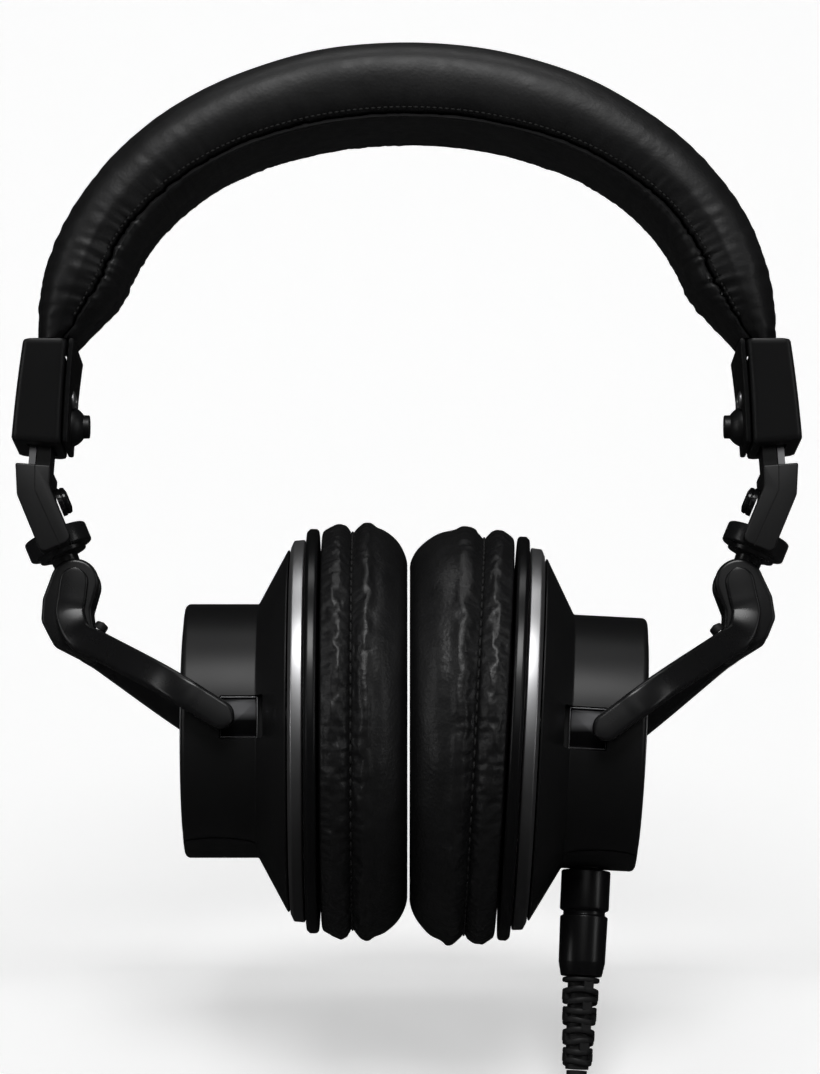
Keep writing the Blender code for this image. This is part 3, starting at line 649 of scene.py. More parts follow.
def make_cord(above, tip):
    down = (tip - above).normalized()
    start = tip + down * 0.3 * MM
    lay = FLOOR_Z + CABLE_RADIUS * 3
    centre = Vector((start.x - COIL_ASIDE, COIL_OUTER, FLOOR_Z))
    route = [start, start + down * 5 * MM, start + down * 10 * MM + Vector((0.3 * MM, 0, 0)),
             Vector((start.x - 3.5 * MM, 0, lay + 7.5 * MM)),
             Vector((start.x - 10 * MM, 0, lay + 1.6 * MM)),
             Vector((start.x - 18 * MM, 0, lay)), Vector((centre.x, 0, lay))]
    points = smooth_curve(route, 4)[:-1] + coil_points(centre)
    curve = bpy.data.curves.new("cord_whole", "CURVE")
    curve.dimensions = "3D"
    curve.bevel_depth = CABLE_RADIUS
    curve.bevel_resolution = 4
    curve.use_fill_caps = True
    spline = curve.splines.new("POLY")
    spline.points.add(len(points) - 1)
    for point, p in zip(spline.points, points):
        point.co = (*p, 1)
    cord = bpy.data.objects.new("cord_whole", curve)
    curve.materials.append(RUBBER)
    bpy.context.scene.collection.objects.link(cord)
    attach(cord, "right_cup")
    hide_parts("cord", "cord_coil")
    tie = make_tie(centre)


def make_tie(centre):
    """A thin strap round the coil's turns, on its +X side."""
    loop = [(16.7, 0.5, 1), (35.7, 0.5, 1.5), (35.7, 4.2, 2.2), (31.2, 9.3, 2.2), (17.0, 9.3, 2.2),
            (16.7, 5, 2)]
    inner = round_corners([(r * MM, z * MM, c * MM) for r, z, c in loop], True, 5)
    middle = Vector((26 * MM, 4.6 * MM))
    outer = []
    for point in inner:
        away = Vector(point) - middle
        outer.append(tuple(Vector(point) + away.normalized() * 0.45 * MM))
    rings = [[centre + Vector((r, y, z)) for r, z in line]
             for line, y in ((outer, -3 * MM), (outer, 3 * MM), (inner, 3 * MM), (inner, -3 * MM))]
    tie = grid("cord_tie", rings, RUBBER, wrap_rings=True)
    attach(tie, "right_cup")
    return tie


# ---------------------------------------------------------------- headband
def band_frame(degrees):
    """The inner face's point, the way out and the thickness there, round the arch from the crown."""
    a = math.radians(degrees)
    inner = Vector((BAND_INNER[0] * math.sin(a), 0, BAND_CENTRE_Z + BAND_INNER[1] * math.cos(a)))
    outer = Vector((BAND_OUTER[0] * math.sin(a), 0, BAND_CENTRE_Z + BAND_OUTER[1] * math.cos(a)))
    return inner, (outer - inner).normalized(), (outer - inner).length


def seam_height(degrees):
    """How far out the seam runs: by the lower edge at the crown, further out down the sides."""
    return (0.9 + 3.3 * math.sin(math.radians(min(abs(degrees), 90))) ** 2) * MM


def end_taper(degrees):
    """1 along the arch, falling at its ends where the padding is drawn into the caps."""
    left = (BAND_END - abs(degrees)) / END_SPAN
    return 1.0 if left >= 1 else END_SHARE + (1 - END_SHARE) * math.sin(max(left, 0) * math.pi / 2)


def tapered(degrees, y, h):
    """The point y along the band's depth and h out from its inner face, drawn in at the arch's ends."""
    inner, out, thick = band_frame(degrees)
    k = end_taper(degrees)
    middle = thick * END_ANCHOR
    return inner + out * (middle + (h - middle) * k) + Vector((0, y * (0.5 + 0.5 * k), 0))


def band_ring(degrees, section):
    thick = band_frame(degrees)[2]
    return [tapered(degrees, y, h) for y, h in section(degrees, thick)]


def spread(points, count):
    """A smooth line through (y, h) points, read off at even steps."""
    line = smooth_curve([Vector(p) for p in points], 8)
    lengths = [0.0]
    for a, b in zip(line, line[1:]):
        lengths.append(lengths[-1] + (b - a).length)
    out = []
    k = 0
    for i in range(count):
        want = lengths[-1] * i / (count - 1)
        while k < len(lengths) - 2 and lengths[k + 1] < want:
            k += 1
        share = (want - lengths[k]) / max(lengths[k + 1] - lengths[k], 1e-12)
        out.append(line[k].lerp(line[k + 1], min(max(share, 0), 1)))
    return out


def puckers(degrees, y, h, seam, thick, front):
    """Small pulls of the leather across the seam and long soft creases down the sides."""
    arc_mm = degrees * 1.3
    near = math.exp(-((h - seam) / (3.2 * MM)) ** 2)
    pull = (noise.noise(Vector((arc_mm * 0.75, 3.0 * front, 0))) * 0.32
            + noise.noise(Vector((arc_mm * 0.28, 9, front))) * 0.3)
    side = math.sin(math.radians(min(abs(degrees), 90))) ** 4
    crease = noise.noise(Vector((arc_mm * 0.42, h * 180, 5 + front))) * side
    soft = noise.noise(Vector((arc_mm * 0.06, h * 90, y * 60)))
    return (1.5 * pull * near * (0.35 + side) + 0.36 * crease + 0.28 * soft) * MM


def band_sheet(name, section, count):
    rings = []
    for i in range(BAND_STEPS + 1):
        degrees = -BAND_END + 2 * BAND_END * i / BAND_STEPS
        _, out, thick = band_frame(degrees)
        seam = seam_height(degrees)
        points = band_ring(degrees, section)
        flat = section(degrees, thick)
        ring = []
        for k, (p, (y, h)) in enumerate(zip(points, flat)):
            before, after = flat[k - 1], flat[(k + 1) % len(flat)]
            run = Vector(after) - Vector(before)
            normal = Vector((run.y, -run.x)).normalized() if run.length else Vector((0, 1))
            push = puckers(degrees, y, h, seam, thick, -1 if y < 0 else 1)
            ring.append(p + (out * normal.y + Vector((0, normal.x, 0))) * push)
        rings.append(ring)
    return grid(name, rings, BAND_LEATHER, caps=True, smooth=50)


def cover_section(degrees, thick):
    seam = seam_height(degrees)
    line = [(-11.6 * MM, seam + 0.25 * MM), (-14.2 * MM, seam + 0.5 * MM), (-16.2 * MM, seam + 3.4 * MM),
            (-17 * MM, thick * 0.52), (-15.6 * MM, thick * 0.76), (-11 * MM, thick * 0.93),
            (-5 * MM, thick * 0.99),
            (0, thick)]
    line += [(-y, h) for y, h in line[-2::-1]]
    return [tuple(p) for p in spread(line, 64)]


def cushion_section(degrees, thick):
    seam = seam_height(degrees)
    side = math.sin(math.radians(min(abs(degrees), 90))) ** 2
    line = [(-11.6 * MM, seam - 0.15 * MM), (-13.9 * MM, seam - 0.35 * MM), (-14.6 * MM, seam - 1.3 * MM),
            (-13.0 * MM, 0.35 * seam - 0.3 * MM), (-8.5 * MM, -0.25 * MM * (1 + side)), (0, -0.4 * MM)]
    line += [(-y, h) for y, h in line[-2::-1]]
    return [tuple(p) for p in spread(line, 56)]


def make_band():
    cover = band_sheet("band_leather_cover", cover_section, 64)
    cushion = band_sheet("band_leather_cushion", cushion_section, 56)
    stitches = make_band_stitches()
    for obj, node in ((cover, "band_cover"), (cushion, "band_cushion")):
        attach(obj, "headband")
        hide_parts(node)
    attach(stitches, "headband")


def thread_piece(name, pairs, radius):
    """One object of short round threads, one for each pair of end points."""
    bm = bmesh.new()
    for start, end, up in pairs:
        run = (end - start)
        side = run.cross(up).normalized()
        up = side.cross(run).normalized()
        loops = []
        for t, lift, scale in ((0, -0.5, 0.45), (0.2, 0.25, 1), (0.5, 0.45, 1), (0.8, 0.25, 1),
                               (1, -0.5, 0.45)):
            centre = start + run * t + up * radius * lift
            loops.append([bm.verts.new(centre + (side * math.cos(a) + up * math.sin(a)) * radius * scale)
                          for a in [math.pi * 2 * k / 6 for k in range(6)]])
        for low, high in zip(loops, loops[1:]):
            for k in range(6):
                bm.faces.new((low[k], low[(k + 1) % 6], high[(k + 1) % 6], high[k]))
        bm.faces.new(loops[0])
        bm.faces.new(loops[-1])
    return from_bmesh(name, bm, THREAD, 60)


def make_band_stitches():
    pairs = []
    count = 150
    for sign in (-1, 1):
        for i in range(count):
            ends = []
            for t in (i + 0.14, i + 0.86):
                degrees = -88 + 176 * t / count
                out = band_frame(degrees)[1]
                ends.append(tapered(degrees, sign * 14.75 * MM, seam_height(degrees) + 0.95 * MM))
            pairs.append((ends[0], ends[1], Vector((0, sign, 0)) - out * 0.5))
    return thread_piece("band_stitching", pairs, 0.22 * MM)


# ---------------------------------------------------------------- end cap and slider
def cap_centre(z):
    drop = (CAP_TOP_Z - z) / (CAP_TOP_Z - CAP_BOTTOM_Z)
    return -79.1 * MM - (3.6 * drop - 0.8 * drop ** 2) * MM


def cap_rings(inner, outer, trim, corner, ends):
    """Rounded sections down the cap; ends draws the first and last ones in for soft edges."""
    rings = []
    steps = 16
    rows = [(0, ends), (0, 0)] if not ends else [(0.0, ends), (ends * 0.3, ends * 0.3), (ends, 0.0)]
    height = CAP_TOP_Z - CAP_BOTTOM_Z
    levels = [(d / height, inset) for d, inset in rows]
    levels += [(i / steps, 0.0) for i in range(1, steps)]
    levels += [(1 - d / height, inset) for d, inset in rows[::-1]]
    for drop, inset in levels:
        z = CAP_TOP_Z - height * drop
        depth = CAP_DEPTH[0] + (CAP_DEPTH[1] - CAP_DEPTH[0]) * drop
        swell = (0.4 + 1.2 * drop) * MM
        low, high = inner + (swell if inner > 0 else 0), outer + swell
        half_x = (high - low) / 2 - inset
        half_y = depth / 2 - trim - inset
        middle = cap_centre(z) + (low + high) / 2
        r = min(corner, half_x * 0.9)
        square = rectangle((-half_x, -half_y), (half_x, half_y), r)
        rings.append([Vector((middle + x, y, z + 0.09 * (middle - (middle + x)) * drop))
                      for x, y in round_corners(square, True, 5)])
    return rings


def slide_matrix():
    return Matrix.Translation((SLIDE_X, 0, CAP_BOTTOM_Z)) @ Matrix.Rotation(SLIDE_LEAN, 4, "Y")


def slide_block(low, high):
    obj = block("slide_cut", low, high)
    obj.data.transform(slide_matrix())
    return obj


def make_cap(side):
    half = CAP_THICK / 2
    rings = cap_rings(-half, half - PLATE_THICK, 0, 1.5 * MM, 0.7 * MM)
    cap = grid("end_cap", rings, SHELL_PLASTIC, caps=True)
    cut(cap, [slide_block((-2.8 * MM, -6.5 * MM, -4 * MM), (3.1 * MM, 6.5 * MM, 24 * MM)),
              block("mouth", (-83.4 * MM, -14 * MM, CAP_TOP_Z - 4 * MM),
                    (-75.2 * MM, 14 * MM, CAP_TOP_Z + 2 * MM))])
    side.put(cap, "fixed", "headband", "satin_plastic", ("end_cap",))
    rings = cap_rings(half - PLATE_THICK + 0.3 * MM, half, 0.9 * MM, 0.6 * MM, 0.35 * MM)
    plate = grid("cap_plate", rings, PLATE_PLASTIC, caps=True)
    side.put(plate, "fixed", "headband", "satin_plastic", ("cap_plate",))
    for label, y in (("a", -3.2 * MM), ("b", 3.2 * MM)):
        z = -62.2 * MM
        face = cap_centre(z) + half + 0.5 * MM
        head = turned(f"plate_screw_{label}", mm([(0, 0, 0), (2.0, 0, 0), (2.0, 0.9, 0.4), (0.8, 1.3, 0),
                                                  (0.7, 0.7, 0), (0, 0.6, 0)]),
                      CHROME, (1, 0, 0), (face, y, z), around=32)
        side.put(head, "fixed", "headband", "chrome", (f"plate_screw_{label}",))
    z = -67.7 * MM
    r = 4.6 * MM
    face = cap_centre(z) + half + 0.5 * MM
    profile = [(0, 0, 0), (r, 0, 0)] + [(r * math.cos(a), 4.2 * MM * math.sin(a), 0) for a in
                                         [0.12 * i for i in range(1, 9)]]
    profile += mm([(2.6, 4.3, 0), (2.6, 4.8, 0.25), (0, 4.9, 0)])
    dome = turned("click_dome", profile, SHELL_PLASTIC, (1, 0, 0), (face, 0, z), around=56)
    side.put(dome, "fixed", "headband", "satin_plastic", ("click_dome",))


# ---------------------------------------------------------------- hinge block and swivel
def neck_axis():
    return Vector((math.sin(NECK_LEAN), 0, -math.cos(NECK_LEAN)))


def on_neck(side, distance):
    return side.knuckle - neck_axis() * distance


def make_block(side):
    u = neck_axis()
    across = Vector((math.cos(NECK_LEAN), 0, math.sin(NECK_LEAN)))
    foot = on_neck(side, BLOCK_FOOT) - across * 0.6 * MM
    outer, inner = foot - across * BLOCK_HALF, foot + across * BLOCK_HALF
    bend_outer, bend_inner = outer - u * 14.2 * MM, inner - u * 13.2 * MM
    corners = [(bend_outer.x - 0.4 * MM, BLOCK_TOP_Z, 0.4 * MM), (bend_outer.x, bend_outer.z, 3 * MM),
               (outer.x, outer.z, 1.4 * MM), (inner.x, inner.z, 1.8 * MM),
               (bend_inner.x, bend_inner.z, 3 * MM),
               (bend_inner.x + 0.2 * MM, BLOCK_TOP_Z - 0.6 * MM, 0.4 * MM)]
    shape = round_corners(corners, True, 6)
    obj = slab("hinge_block", shape, BLOCK_DEPTH / 2, SHELL_PLASTIC, 0, 1.3 * MM, 4)
    slot = turned("slot", mm([(0, 5, 0), (7.6, 5, 0), (7.6, 12.9, 0), (0, 12.9, 0)]),
                  TRIM_PLASTIC, -u, side.knuckle, around=64)
    groove = [(p - Vector((0.12 * MM, 0)), p + Vector((0.12 * MM, 0))) for p in
              (Vector((bend_outer.x * 0.45 + bend_inner.x * 0.55, BLOCK_TOP_Z)),
               Vector((bend_outer.x * 0.45 + bend_inner.x * 0.55, bend_outer.z * 0.5 + bend_inner.z * 0.5)),
               Vector((outer.x * 0.4 + inner.x * 0.6, outer.z * 0.4 + inner.z * 0.6)))]
    line = [g[0] for g in groove] + [g[1] for g in groove[::-1]]
    parting = slab("parting", [(p.x, p.y) for p in line], 0.3 * MM, TRIM_PLASTIC, -BLOCK_DEPTH / 2)
    cut(obj, [slot, slide_block((-2.6 * MM, -6.3 * MM, -15.9 * MM), (2.9 * MM, 6.3 * MM, 10 * MM)),
              parting])
    side.put(obj, "fixed", "slider", "satin_plastic", ("hinge_block",))
    seat = inner - u * 10.6 * MM + across * 0.3 * MM
    profile = mm([(0, 0, 0), (3.2, 0, 0), (3.2, 1.0, 0.2), (2.9, 1.2, 0.1), (3.1, 1.5, 0.1),
                  (2.9, 2.2, 0.3), (1.6, 2.6, 0.2), (1.4, 2.2, 0), (0, 2.2, 0)])
    boss = turned("block_boss", profile, GLOSS, across, seat, around=48)
    side.put(boss, "fixed", "slider", "satin_plastic", ("block_boss",))


def make_swivel(side):
    low, high = DISC_SPAN
    edge = 0.6 * MM
    profile = [(0, 17 * MM, 0), (2.2 * MM, 17 * MM, 0.3 * MM), (2.2 * MM, high, 0),
               (DISC_RADIUS, high, edge),
               (DISC_RADIUS, low, edge), (5.4 * MM, low, 0.2 * MM), (5.4 * MM, 7.1 * MM, 0.4 * MM),
               (3.1 * MM, 6.9 * MM, 0.5 * MM), (3.0 * MM, 5.2 * MM, 0.5 * MM), (3.0 * MM, 1 * MM, 0),
               (0, 1 * MM, 0)]
    stem = turned("swivel_knuckle", profile, ARM_PAINT, -neck_axis(), side.knuckle, around=96)
    tongue = turned("tongue", [(2.1 * MM, -TONGUE_HALF, 0), (4.9 * MM, -TONGUE_HALF, 0.4 * MM),
                               (4.9 * MM, TONGUE_HALF, 0.4 * MM), (2.1 * MM, TONGUE_HALF, 0)],
                    ARM_PAINT, (0, 1, 0), side.knuckle, True, 64)
    side.put(joined([stem, tongue]), "fixed", "swivel", "painted_metal", ("swivel_knuckle",))


# ---------------------------------------------------------------- yoke
def arm_path():
    """One arm, up front: down the leg, round the elbow and out along the cup to its pivot."""
    arm = Vector((math.cos(ARM_LEAN), 0, -math.sin(ARM_LEAN)))
    pivot = Vector((PIVOT[0], 0, PIVOT[1]))
    points = [Vector((-0.1 * MM, -4.95 * MM, 0)), Vector((-0.5 * MM, -4.95 * MM, -3.5 * MM)),
              Vector((-0.8 * MM, -5.1 * MM, -7.2 * MM))]
    for back, y in ARM_ROUTE:
        points.append(pivot - arm * back * MM - Vector((0, y * MM, 0)))
    return smooth_curve(points, 7)


def arm_sweep(rear):
    path = arm_path()
    rings = []
    count = len(path)
    across = Vector((0, 1, 0))
    first = path[0]
    for i in range(-7, count + 7):
        k = min(max(i, 0), count - 1)
        here, run = path[k], (path[min(k + 1, count - 1)] - path[max(k - 1, 0)]).normalized()
        share = ease((k - 12) / 22)
        wide, deep, corner = [(a * (1 - share) + b * share) * MM for a, b in zip(LEG_SECTION, ARM_SECTION)]
        rise = run.cross(across).normalized()
        out = rise.cross(run).normalized()
        if i < 0 or i >= count:
            step = (-i if i < 0 else i - count + 1) / 7
            here = here + run * wide * math.sin(step * math.pi / 2) * (-1 if i < 0 else 1)
            wide *= max(math.cos(step * math.pi / 2), 0.03)
            deep *= 1 if step < 0.99 else 0.98
            corner = min(corner, wide * 0.9, deep * 0.9)
        square = rectangle((-wide, -deep), (wide, deep), corner)
        ring = [here + rise * a + out * b for a, b in round_corners(square, True, 5)]
        rings.append([Vector((p.x, -p.y, p.z)) for p in ring] if rear else ring)
    return grid("arm", rings, ARM_PAINT, caps=True, smooth=40)


def hub_slab(name, low, high, outline_points):
    return slab(name, outline_points, (high - low) / 2, ARM_PAINT, (high + low) / 2, 0.9 * MM, 4)


def make_yoke(side):
    r = KNUCKLE_RADIUS
    hub = [(x, z, 0) for x, z in arc((0, 0), r, -8, 165, 26)]
    hub += mm([(-7.0, -3.6, 2), (-7.3, -8.5, 3), (-4.9, -13.2, 3), (3.5, -17.5, 2), (8.0, -14.5, 2),
               (4.4, -9.8, 2.2), (3.9, -6.0, 2)])
    outline_points = round_corners(hub, True, 5)
    pieces = [arm_sweep(False), arm_sweep(True)]
    for low, high in ((-5.5 * MM, -TONGUE_HALF - 0.3 * MM), (TONGUE_HALF + 0.3 * MM, 5.5 * MM)):
        pieces.append(hub_slab("cheek", low, high, outline_points))
    web = mm([(-6.9, -6.2, 0.5), (-7.2, -8.5, 3), (-4.9, -13.1, 3), (3.4, -17.3, 2), (7.8, -14.4, 2),
              (4.2, -9.8, 2.2), (3.6, -6.2, 0.5)])
    pieces.append(slab("web", round_corners(web, True, 5), 4 * MM, ARM_PAINT))
    yoke = joined(pieces)
    yoke.name = "yoke"
    side.put(yoke, "yoke", "yoke", "painted_metal", ("yoke",))
    tilt = Vector((math.sin(ARM_LEAN), 0, math.cos(ARM_LEAN)))
    arm = Vector((math.cos(ARM_LEAN), 0, -math.sin(ARM_LEAN)))
    seat = Vector((PIVOT[0], 0, PIVOT[1])) - arm * STOP_BACK + tilt * 3.3 * MM + Vector((0, -10 * MM, 0))
    profile = mm([(0, 0, 0), (1.5, 0, 0), (1.5, 1.4, 0.5), (0, 1.8, 0)])
    stop = turned("elbow_stop", profile, RUBBER, tilt, seat, around=32)
    side.put(stop, "yoke", "yoke", "rubber", ("elbow_stop",))


# ---------------------------------------------------------------- cup
def cup_turned(side, name, profile, mat, slot, closed=True, replaces=None, smooth=30, steps=5):
    obj = turned(name, profile, mat, (1, 0, 0), (0, 0, 0), closed, AROUND, smooth, steps)
    return side.put(obj, "cup", "cup", slot, (replaces or name,)) if slot else obj


def make_housing(side):
    wall = 3 * MM
    outer = [(SHELL_RADIUS - 4 * MM, SHELL_BACK + 0.9 * MM, 0), (SHELL_RADIUS - 3.6 * MM, SHELL_BACK, 0),
             (SHELL_RADIUS, SHELL_BACK, 1.2 * MM), (SHELL_RADIUS, CONE_START, 0.5 * MM),
             (RING_RADIUS - 1.6 * MM, CONE_END - 0.7 * MM, 0.4 * MM),
             (RING_RADIUS - 3.5 * MM, CONE_END - 0.7 * MM, 0),
             (SHELL_RADIUS - wall, CONE_START + 1.5 * MM, 0), (SHELL_RADIUS - 4 * MM, CONE_START, 0)]
    shell = turned("cup_housing", outer, SHELL_PLASTIC, (1, 0, 0), (0, 0, 0), True, AROUND, 30, 5)
    tools = []
    for sign in (-1, 1):
        corners = rectangle((RECESS[0], -RECESS_HALF), (RECESS[1] + 0.9 * MM, RECESS_HALF), 0.5 * MM)
        tools.append(slab("recess", round_corners(corners, True, 4), 8 * MM, TRIM_PLASTIC,
                          sign * (RECESS_FLOOR + 8 * MM)))
        tools.append(turned("pin_hole", mm([(0, 20, 0), (2.7, 20, 0), (2.7, 30, 0), (0, 30, 0)]),
                            TRIM_PLASTIC, (0, sign, 0), around=32))
    tools.append(parting_tool())
    if side.right:
        tools.append(turned("plug_relief", [(0, PLUG_TOP - 0.3 * MM, 0),
                                            (5.9 * MM, PLUG_TOP - 0.3 * MM, 0), (5.9 * MM, 60 * MM, 0),
                                            (0, 60 * MM, 0)],
                            TRIM_PLASTIC, (0, 0, -1), (SOCKET_AT, 0, 0), around=64))
        tools.append(turned("socket_bore", mm([(0, 20, 0), (4.2, 20, 0), (4.2, 31, 0), (0, 31, 0)]),
                            TRIM_PLASTIC, (0, 0, -1), (SOCKET_AT, 0, 0), around=48))
    cut(shell, tools)
    side.put(shell, "cup", "cup", "satin_plastic", ("cup_housing",))
    make_recess_trim(side)


def parting_tool():
    """A fine curved groove across the low front of the shell, between two moulded halves."""
    rings = []
    for i in range(25):
        x = SHELL_BACK - 1 * MM + (CONE_START - SHELL_BACK + 0.6 * MM) * i / 24
        share = i / 24
        z = (-25.9 + 1.1 * math.sin(share * math.pi) ** 0.6) * MM
        rings.append([Vector((x, -40 * MM, z - 0.11 * MM)), Vector((x, -9.2 * MM, z - 0.11 * MM)),
                      Vector((x, -9.2 * MM, z + 0.11 * MM)), Vector((x, -40 * MM, z + 0.11 * MM))])
    return grid("parting", rings, TRIM_PLASTIC, caps=True)


def make_recess_trim(side):
    """Bright frames and inset plates in the two pivot recesses."""
    x0, x1 = RECESS
    frames = []
    plates = []
    for sign in (-1, 1):
        for inset, depth, kind in ((0.12 * MM, 1.5 * MM, "frame"), (0.6 * MM, 0.5 * MM, "plate")):
            corners = rectangle((x0 + inset, -RECESS_HALF + inset), (x1 - inset, RECESS_HALF - inset),
                                0.45 * MM)
            low = RECESS_FLOOR + 0.05 * MM
            # the plates carry painted shade low down and a painted highlight at the top
            mat = BRIGHT if kind == "frame" else SHADED_LIT_RECESS_PLATE
            obj = slab(f"recess_{kind}", round_corners(corners, True, 4), depth / 2, mat,
                       sign * (low + depth / 2), 0.12 * MM, 2)
            if kind == "frame":
                edge = 0.45 * MM
                inner = rectangle((x0 + edge, -RECESS_HALF + edge), (x1 - edge, RECESS_HALF - edge))
                cut(obj, [slab("hollow", round_corners(inner, True), 3 * MM, mat, sign * low)])
                frames.append(obj)
            else:
                hole = turned("hole", mm([(0, 20, 0), (2.6, 20, 0), (2.6, 30, 0), (0, 30, 0)]),
                              mat, (0, sign, 0), around=32)
                plates.append(cut(obj, [hole]))
    frame_piece = joined(frames)
    frame_piece.name = "recess_frames"
    side.put(frame_piece, "cup", "cup", "chrome")
    plate_piece = joined(plates)
    plate_piece.name = "recess_plates"
    side.put(plate_piece, "cup", "cup", "satin_plastic")


def make_trims(side):
    back = SHELL_BACK
    rim = [(22.2 * MM, back + 0.8 * MM, 0), (22.3 * MM, back - 0.4 * MM, 0.2 * MM),
           (23.9 * MM, back - 0.3 * MM, 0.2 * MM),
           (24.2 * MM, back + 0.1 * MM, 0), (23.7 * MM, back + 0.8 * MM, 0)]
    cup_turned(side, "cap_rim", rim, CHROME, "chrome")
    disc = [(0, back - 0.5 * MM, 0), (6 * MM, back - 0.5 * MM, 0), (20.6 * MM, back - 0.3 * MM, 0.3 * MM),
            (21.7 * MM, back - 0.5 * MM, 0.3 * MM), (21.8 * MM, back + 1.4 * MM, 0),
            (0, back + 1.4 * MM, 0)]
    cup_turned(side, "cap_disc", disc, GLOSS, "satin_plastic", False)
    ring = [(RING_RADIUS - 1.7 * MM, CONE_END - 0.4 * MM, 0.2 * MM),
            (RING_RADIUS - 0.2 * MM, CONE_END + 0.3 * MM, 0.5 * MM),
            (RING_RADIUS, RING_END - 0.3 * MM, 0.3 * MM), (RING_RADIUS - 2.5 * MM, RING_END - 0.1 * MM, 0),
            (RING_RADIUS - 3 * MM, CONE_END, 0)]
    cup_turned(side, "trim_ring", ring, CHROME, "chrome")
    flange = [(DRIVER_BORE, RING_END + 0.1 * MM, 0), (FLANGE_RADIUS - 0.7 * MM, RING_END + 0.1 * MM,
                                                      0.3 * MM),
              (FLANGE_RADIUS, RING_END + 0.8 * MM, 0.5 * MM), (FLANGE_RADIUS, FLANGE_END, 0.8 * MM),
              (DRIVER_BORE, FLANGE_END, 0.3 * MM)]
    cup_turned(side, "baffle", flange, TRIM_PLASTIC, "satin_plastic")


def make_driver_cloth(side):
    at = FLANGE_END + 0.3 * MM
    profile = [(0, at + 0.8 * MM, 0), (9 * MM, at + 0.6 * MM, 0), (20 * MM, at + 0.2 * MM, 0),
               (22 * MM, at, 0.1 * MM),
               (22 * MM, at - 0.25 * MM, 0), (0, at - 0.25 * MM, 0)]
    cup_turned(side, "driver_cloth", profile, CLOTH, "driver_cloth", False)


# ---------------------------------------------------------------- pads
def pad_profile():
    """(radius, height, pinned) once round the pad's section, from the back's inner edge."""
    seam = PAD_SEAM
    b = PAD_BACK
    return [(PAD_HOLE + 2.5 * MM, b + 0.2 * MM, 1), (34 * MM, b, 1), (42.6 * MM, b + 0.1 * MM, 1),
            (44.4 * MM, b + 0.9 * MM, 0.3),
            (45.5 * MM, b + 2.9 * MM, 0), (45.1 * MM, seam - 1.4 * MM, 0),
            (43.7 * MM, seam - 0.25 * MM, 1), (43.5 * MM, seam, 1),
            (43.8 * MM, seam + 0.3 * MM, 1), (44.9 * MM, seam + 1.6 * MM, 0),
            (45.6 * MM, seam + 4.4 * MM, 0),
            (44.7 * MM, seam + 7.9 * MM, 0), (41.6 * MM, seam + 11.1 * MM, 0),
            (37.4 * MM, seam + 12.8 * MM, 0),
            (33 * MM, PAD_FACE - 0.15 * MM, 0), (28.5 * MM, seam + 12.2 * MM, 0),
            (24.6 * MM, seam + 8.9 * MM, 0),
            (23.1 * MM, seam + 4.5 * MM, 0), (23.4 * MM, b + 3.5 * MM, 0), (24.2 * MM, b + 1.2 * MM, 0.5)]


def pad_mesh():
    rows = pad_profile()
    loop = rows + rows[:1]
    line = smooth_curve([Vector(r[:2]) for r in loop], 4)[:-1]
    pins = []
    for i in range(len(rows)):
        for k in range(4):
            nxt = rows[(i + 1) % len(rows)][2]
            pins.append(rows[i][2] + (nxt - rows[i][2]) * k / 4)
    rings = []
    for k in range(PAD_AROUND):
        a = 2 * math.pi * k / PAD_AROUND
        rings.append([Vector((h, r * math.cos(a), r * math.sin(a))) for r, h in line])
    return grid("pad", rings, PAD_LEATHER, True, True, False, 60), pins


def simulate_pad(obj, pins):
    """Swells the leather over its foam, held along its back edge and the seam."""
    group = obj.vertex_groups.new(name="held")
    for k in range(PAD_AROUND):
        for i, weight in enumerate(pins):
            if weight > 0:
                group.add([k * len(pins) + i], min(weight, 1.0), "REPLACE")
    mod = obj.modifiers.new("skin", "CLOTH")
    cloth = mod.settings
    cloth.quality = 4
    cloth.mass = 0.15
    cloth.tension_stiffness = 25
    cloth.compression_stiffness = 12
    cloth.shear_stiffness = 8
    cloth.bending_stiffness = 0.02
    cloth.use_pressure = True
    cloth.uniform_pressure_force = 3
    cloth.shrink_min = -0.035
    cloth.vertex_group_mass = "held"
    cloth.effector_weights.gravity = 0
    mod.collision_settings.use_collision = False
    scene = bpy.context.scene
    start = [v.co.copy() for v in obj.data.vertices]
    for frame_number in range(1, 15):
        scene.frame_set(frame_number)
    graph = bpy.context.evaluated_depsgraph_get()
    swollen = obj.evaluated_get(graph).to_mesh()
    moved = [v.co.copy() for v in swollen.vertices]
    obj.modifiers.clear()
    scene.frame_set(1)
    limit = 0.75 * MM
    for v, a, b in zip(obj.data.vertices, start, moved):
        step = b - a
        v.co = a + (step if step.length < limit else step.normalized() * limit)


def gather(obj):
    """Fine gathers either side of the seam, crinkles across the roll and slack creases further out."""
    for v in obj.data.vertices:
        radius = math.hypot(v.co.y, v.co.z)
        if radius < 36 * MM and v.co.x < PAD_FACE - 2 * MM:
            continue
        out = Vector((0, v.co.y, v.co.z)) / radius
        ring = Vector((out.y, out.z, 0))
        from_seam = (v.co.x - PAD_SEAM) / MM
        fine = noise.noise(ring * 30 + Vector((0, 0, from_seam * 0.04)))
        crinkle = noise.noise(ring * 42 + Vector((3, 0, from_seam * 0.16)))
        wide = noise.noise(ring * 9 + Vector((0, 0, from_seam * 0.13)))
        slack = noise.noise(ring * 3.2 + Vector((0, 5, from_seam * 0.3)))
        near = math.exp(-((abs(from_seam) - 1.4) / 1.5) ** 2)
        push = 0.50 * fine * near + 0.13 * crinkle * math.exp(-(from_seam / 8) ** 2)
        push += 0.26 * wide * math.exp(-(from_seam / 6) ** 2) + 0.34 * slack
        if abs(from_seam) < 0.6:
            push *= 0.3
        v.co += out * push * MM
        v.co.x = min(v.co.x, PAD_FACE - 0.05 * MM)


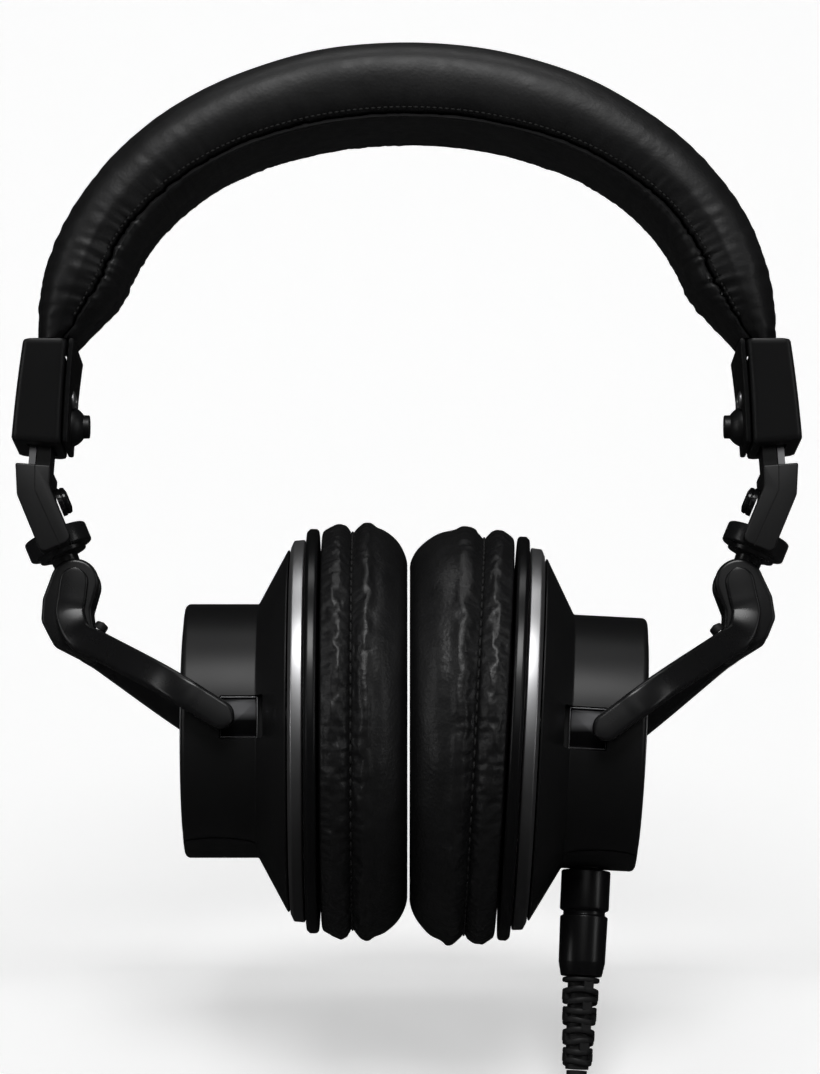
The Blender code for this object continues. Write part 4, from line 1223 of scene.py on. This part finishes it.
def lean_on(mesh, tilt):
    """Thickens the roll on one side, so that a tilted cup's pad still meets the other."""
    for v in mesh.vertices:
        share = (v.co.x - PAD_SEAM) / (PAD_FACE - PAD_SEAM)
        if share > 0:
            v.co.x += share * max(v.co.z + PAD_RADIUS - 4 * MM, 0) * math.tan(abs(tilt))


def make_pads(both):
    obj, pins = pad_mesh()
    simulate_pad(obj, pins)
    gather(obj)
    first = obj.data
    for index, side in enumerate(both):
        mesh = first.copy()
        mesh.transform(Matrix.Rotation(math.radians(130 * index), 4, "X"))
        if side.right:
            lean_on(mesh, RIGHT_TILT)
        pad = from_mesh("pad", mesh, PAD_LEATHER, 60)
        mod = pad.modifiers.new("round", "SUBSURF")
        mod.levels = mod.render_levels = 1
        baked(pad, 60)
        side.put(pad, "cup", "cup", "leather", ("pad",))
        pairs = []
        for k in range(PAD_STITCHES):
            ends = []
            for t in (k + 0.12, k + 0.88):
                a = 2 * math.pi * t / PAD_STITCHES
                ends.append(Vector((PAD_SEAM + 0.05 * MM, 43.75 * MM * math.cos(a),
                                    43.75 * MM * math.sin(a))))
            pairs.append((ends[0], ends[1], Vector((0, math.cos(a), math.sin(a)))))
        stitches = thread_piece("pad_stitching", pairs, 0.24 * MM)
        side.put(stitches, "cup", "cup", "leather")
        for piece in (pad, stitches):
            tuple(side.world("cup", (PAD_BACK, 0, 0)))
            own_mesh(piece)
    bpy.data.objects.remove(obj)


# ---------------------------------------------------------------- materials of the CAD nodes left showing
def dress_cad():
    looks = {"slider_bar": TRIM_PLASTIC, "slider_strip": STEEL, "fold_pin": STEEL, "pivot_pin_front": STEEL,
             "pivot_pin_rear": STEEL, "driver": ARM_PAINT}
    for side in ("left", "right"):
        for node, mat in looks.items():
            set_material(f"{side}_{node}", mat)
    set_material("band_spring", STEEL)
    set_material("far_plug", STEEL)


def set_material(node, mat):
    obj = frame["nodes"][node]
    if not obj.data.materials:
        obj.data.materials.append(mat)
    for slot in obj.material_slots:
        slot.link = "OBJECT"
        slot.material = mat


make_camera()
make_light()
make_floor()
make_band()
sides = [Side("left"), Side("right")]
for side in sides:
    make_cap(side)
    make_block(side)
    make_swivel(side)
    make_yoke(side)
    make_housing(side)
    make_trims(side)
    make_driver_cloth(side)
make_pads(sides)
make_cable(sides[1])
dress_cad()
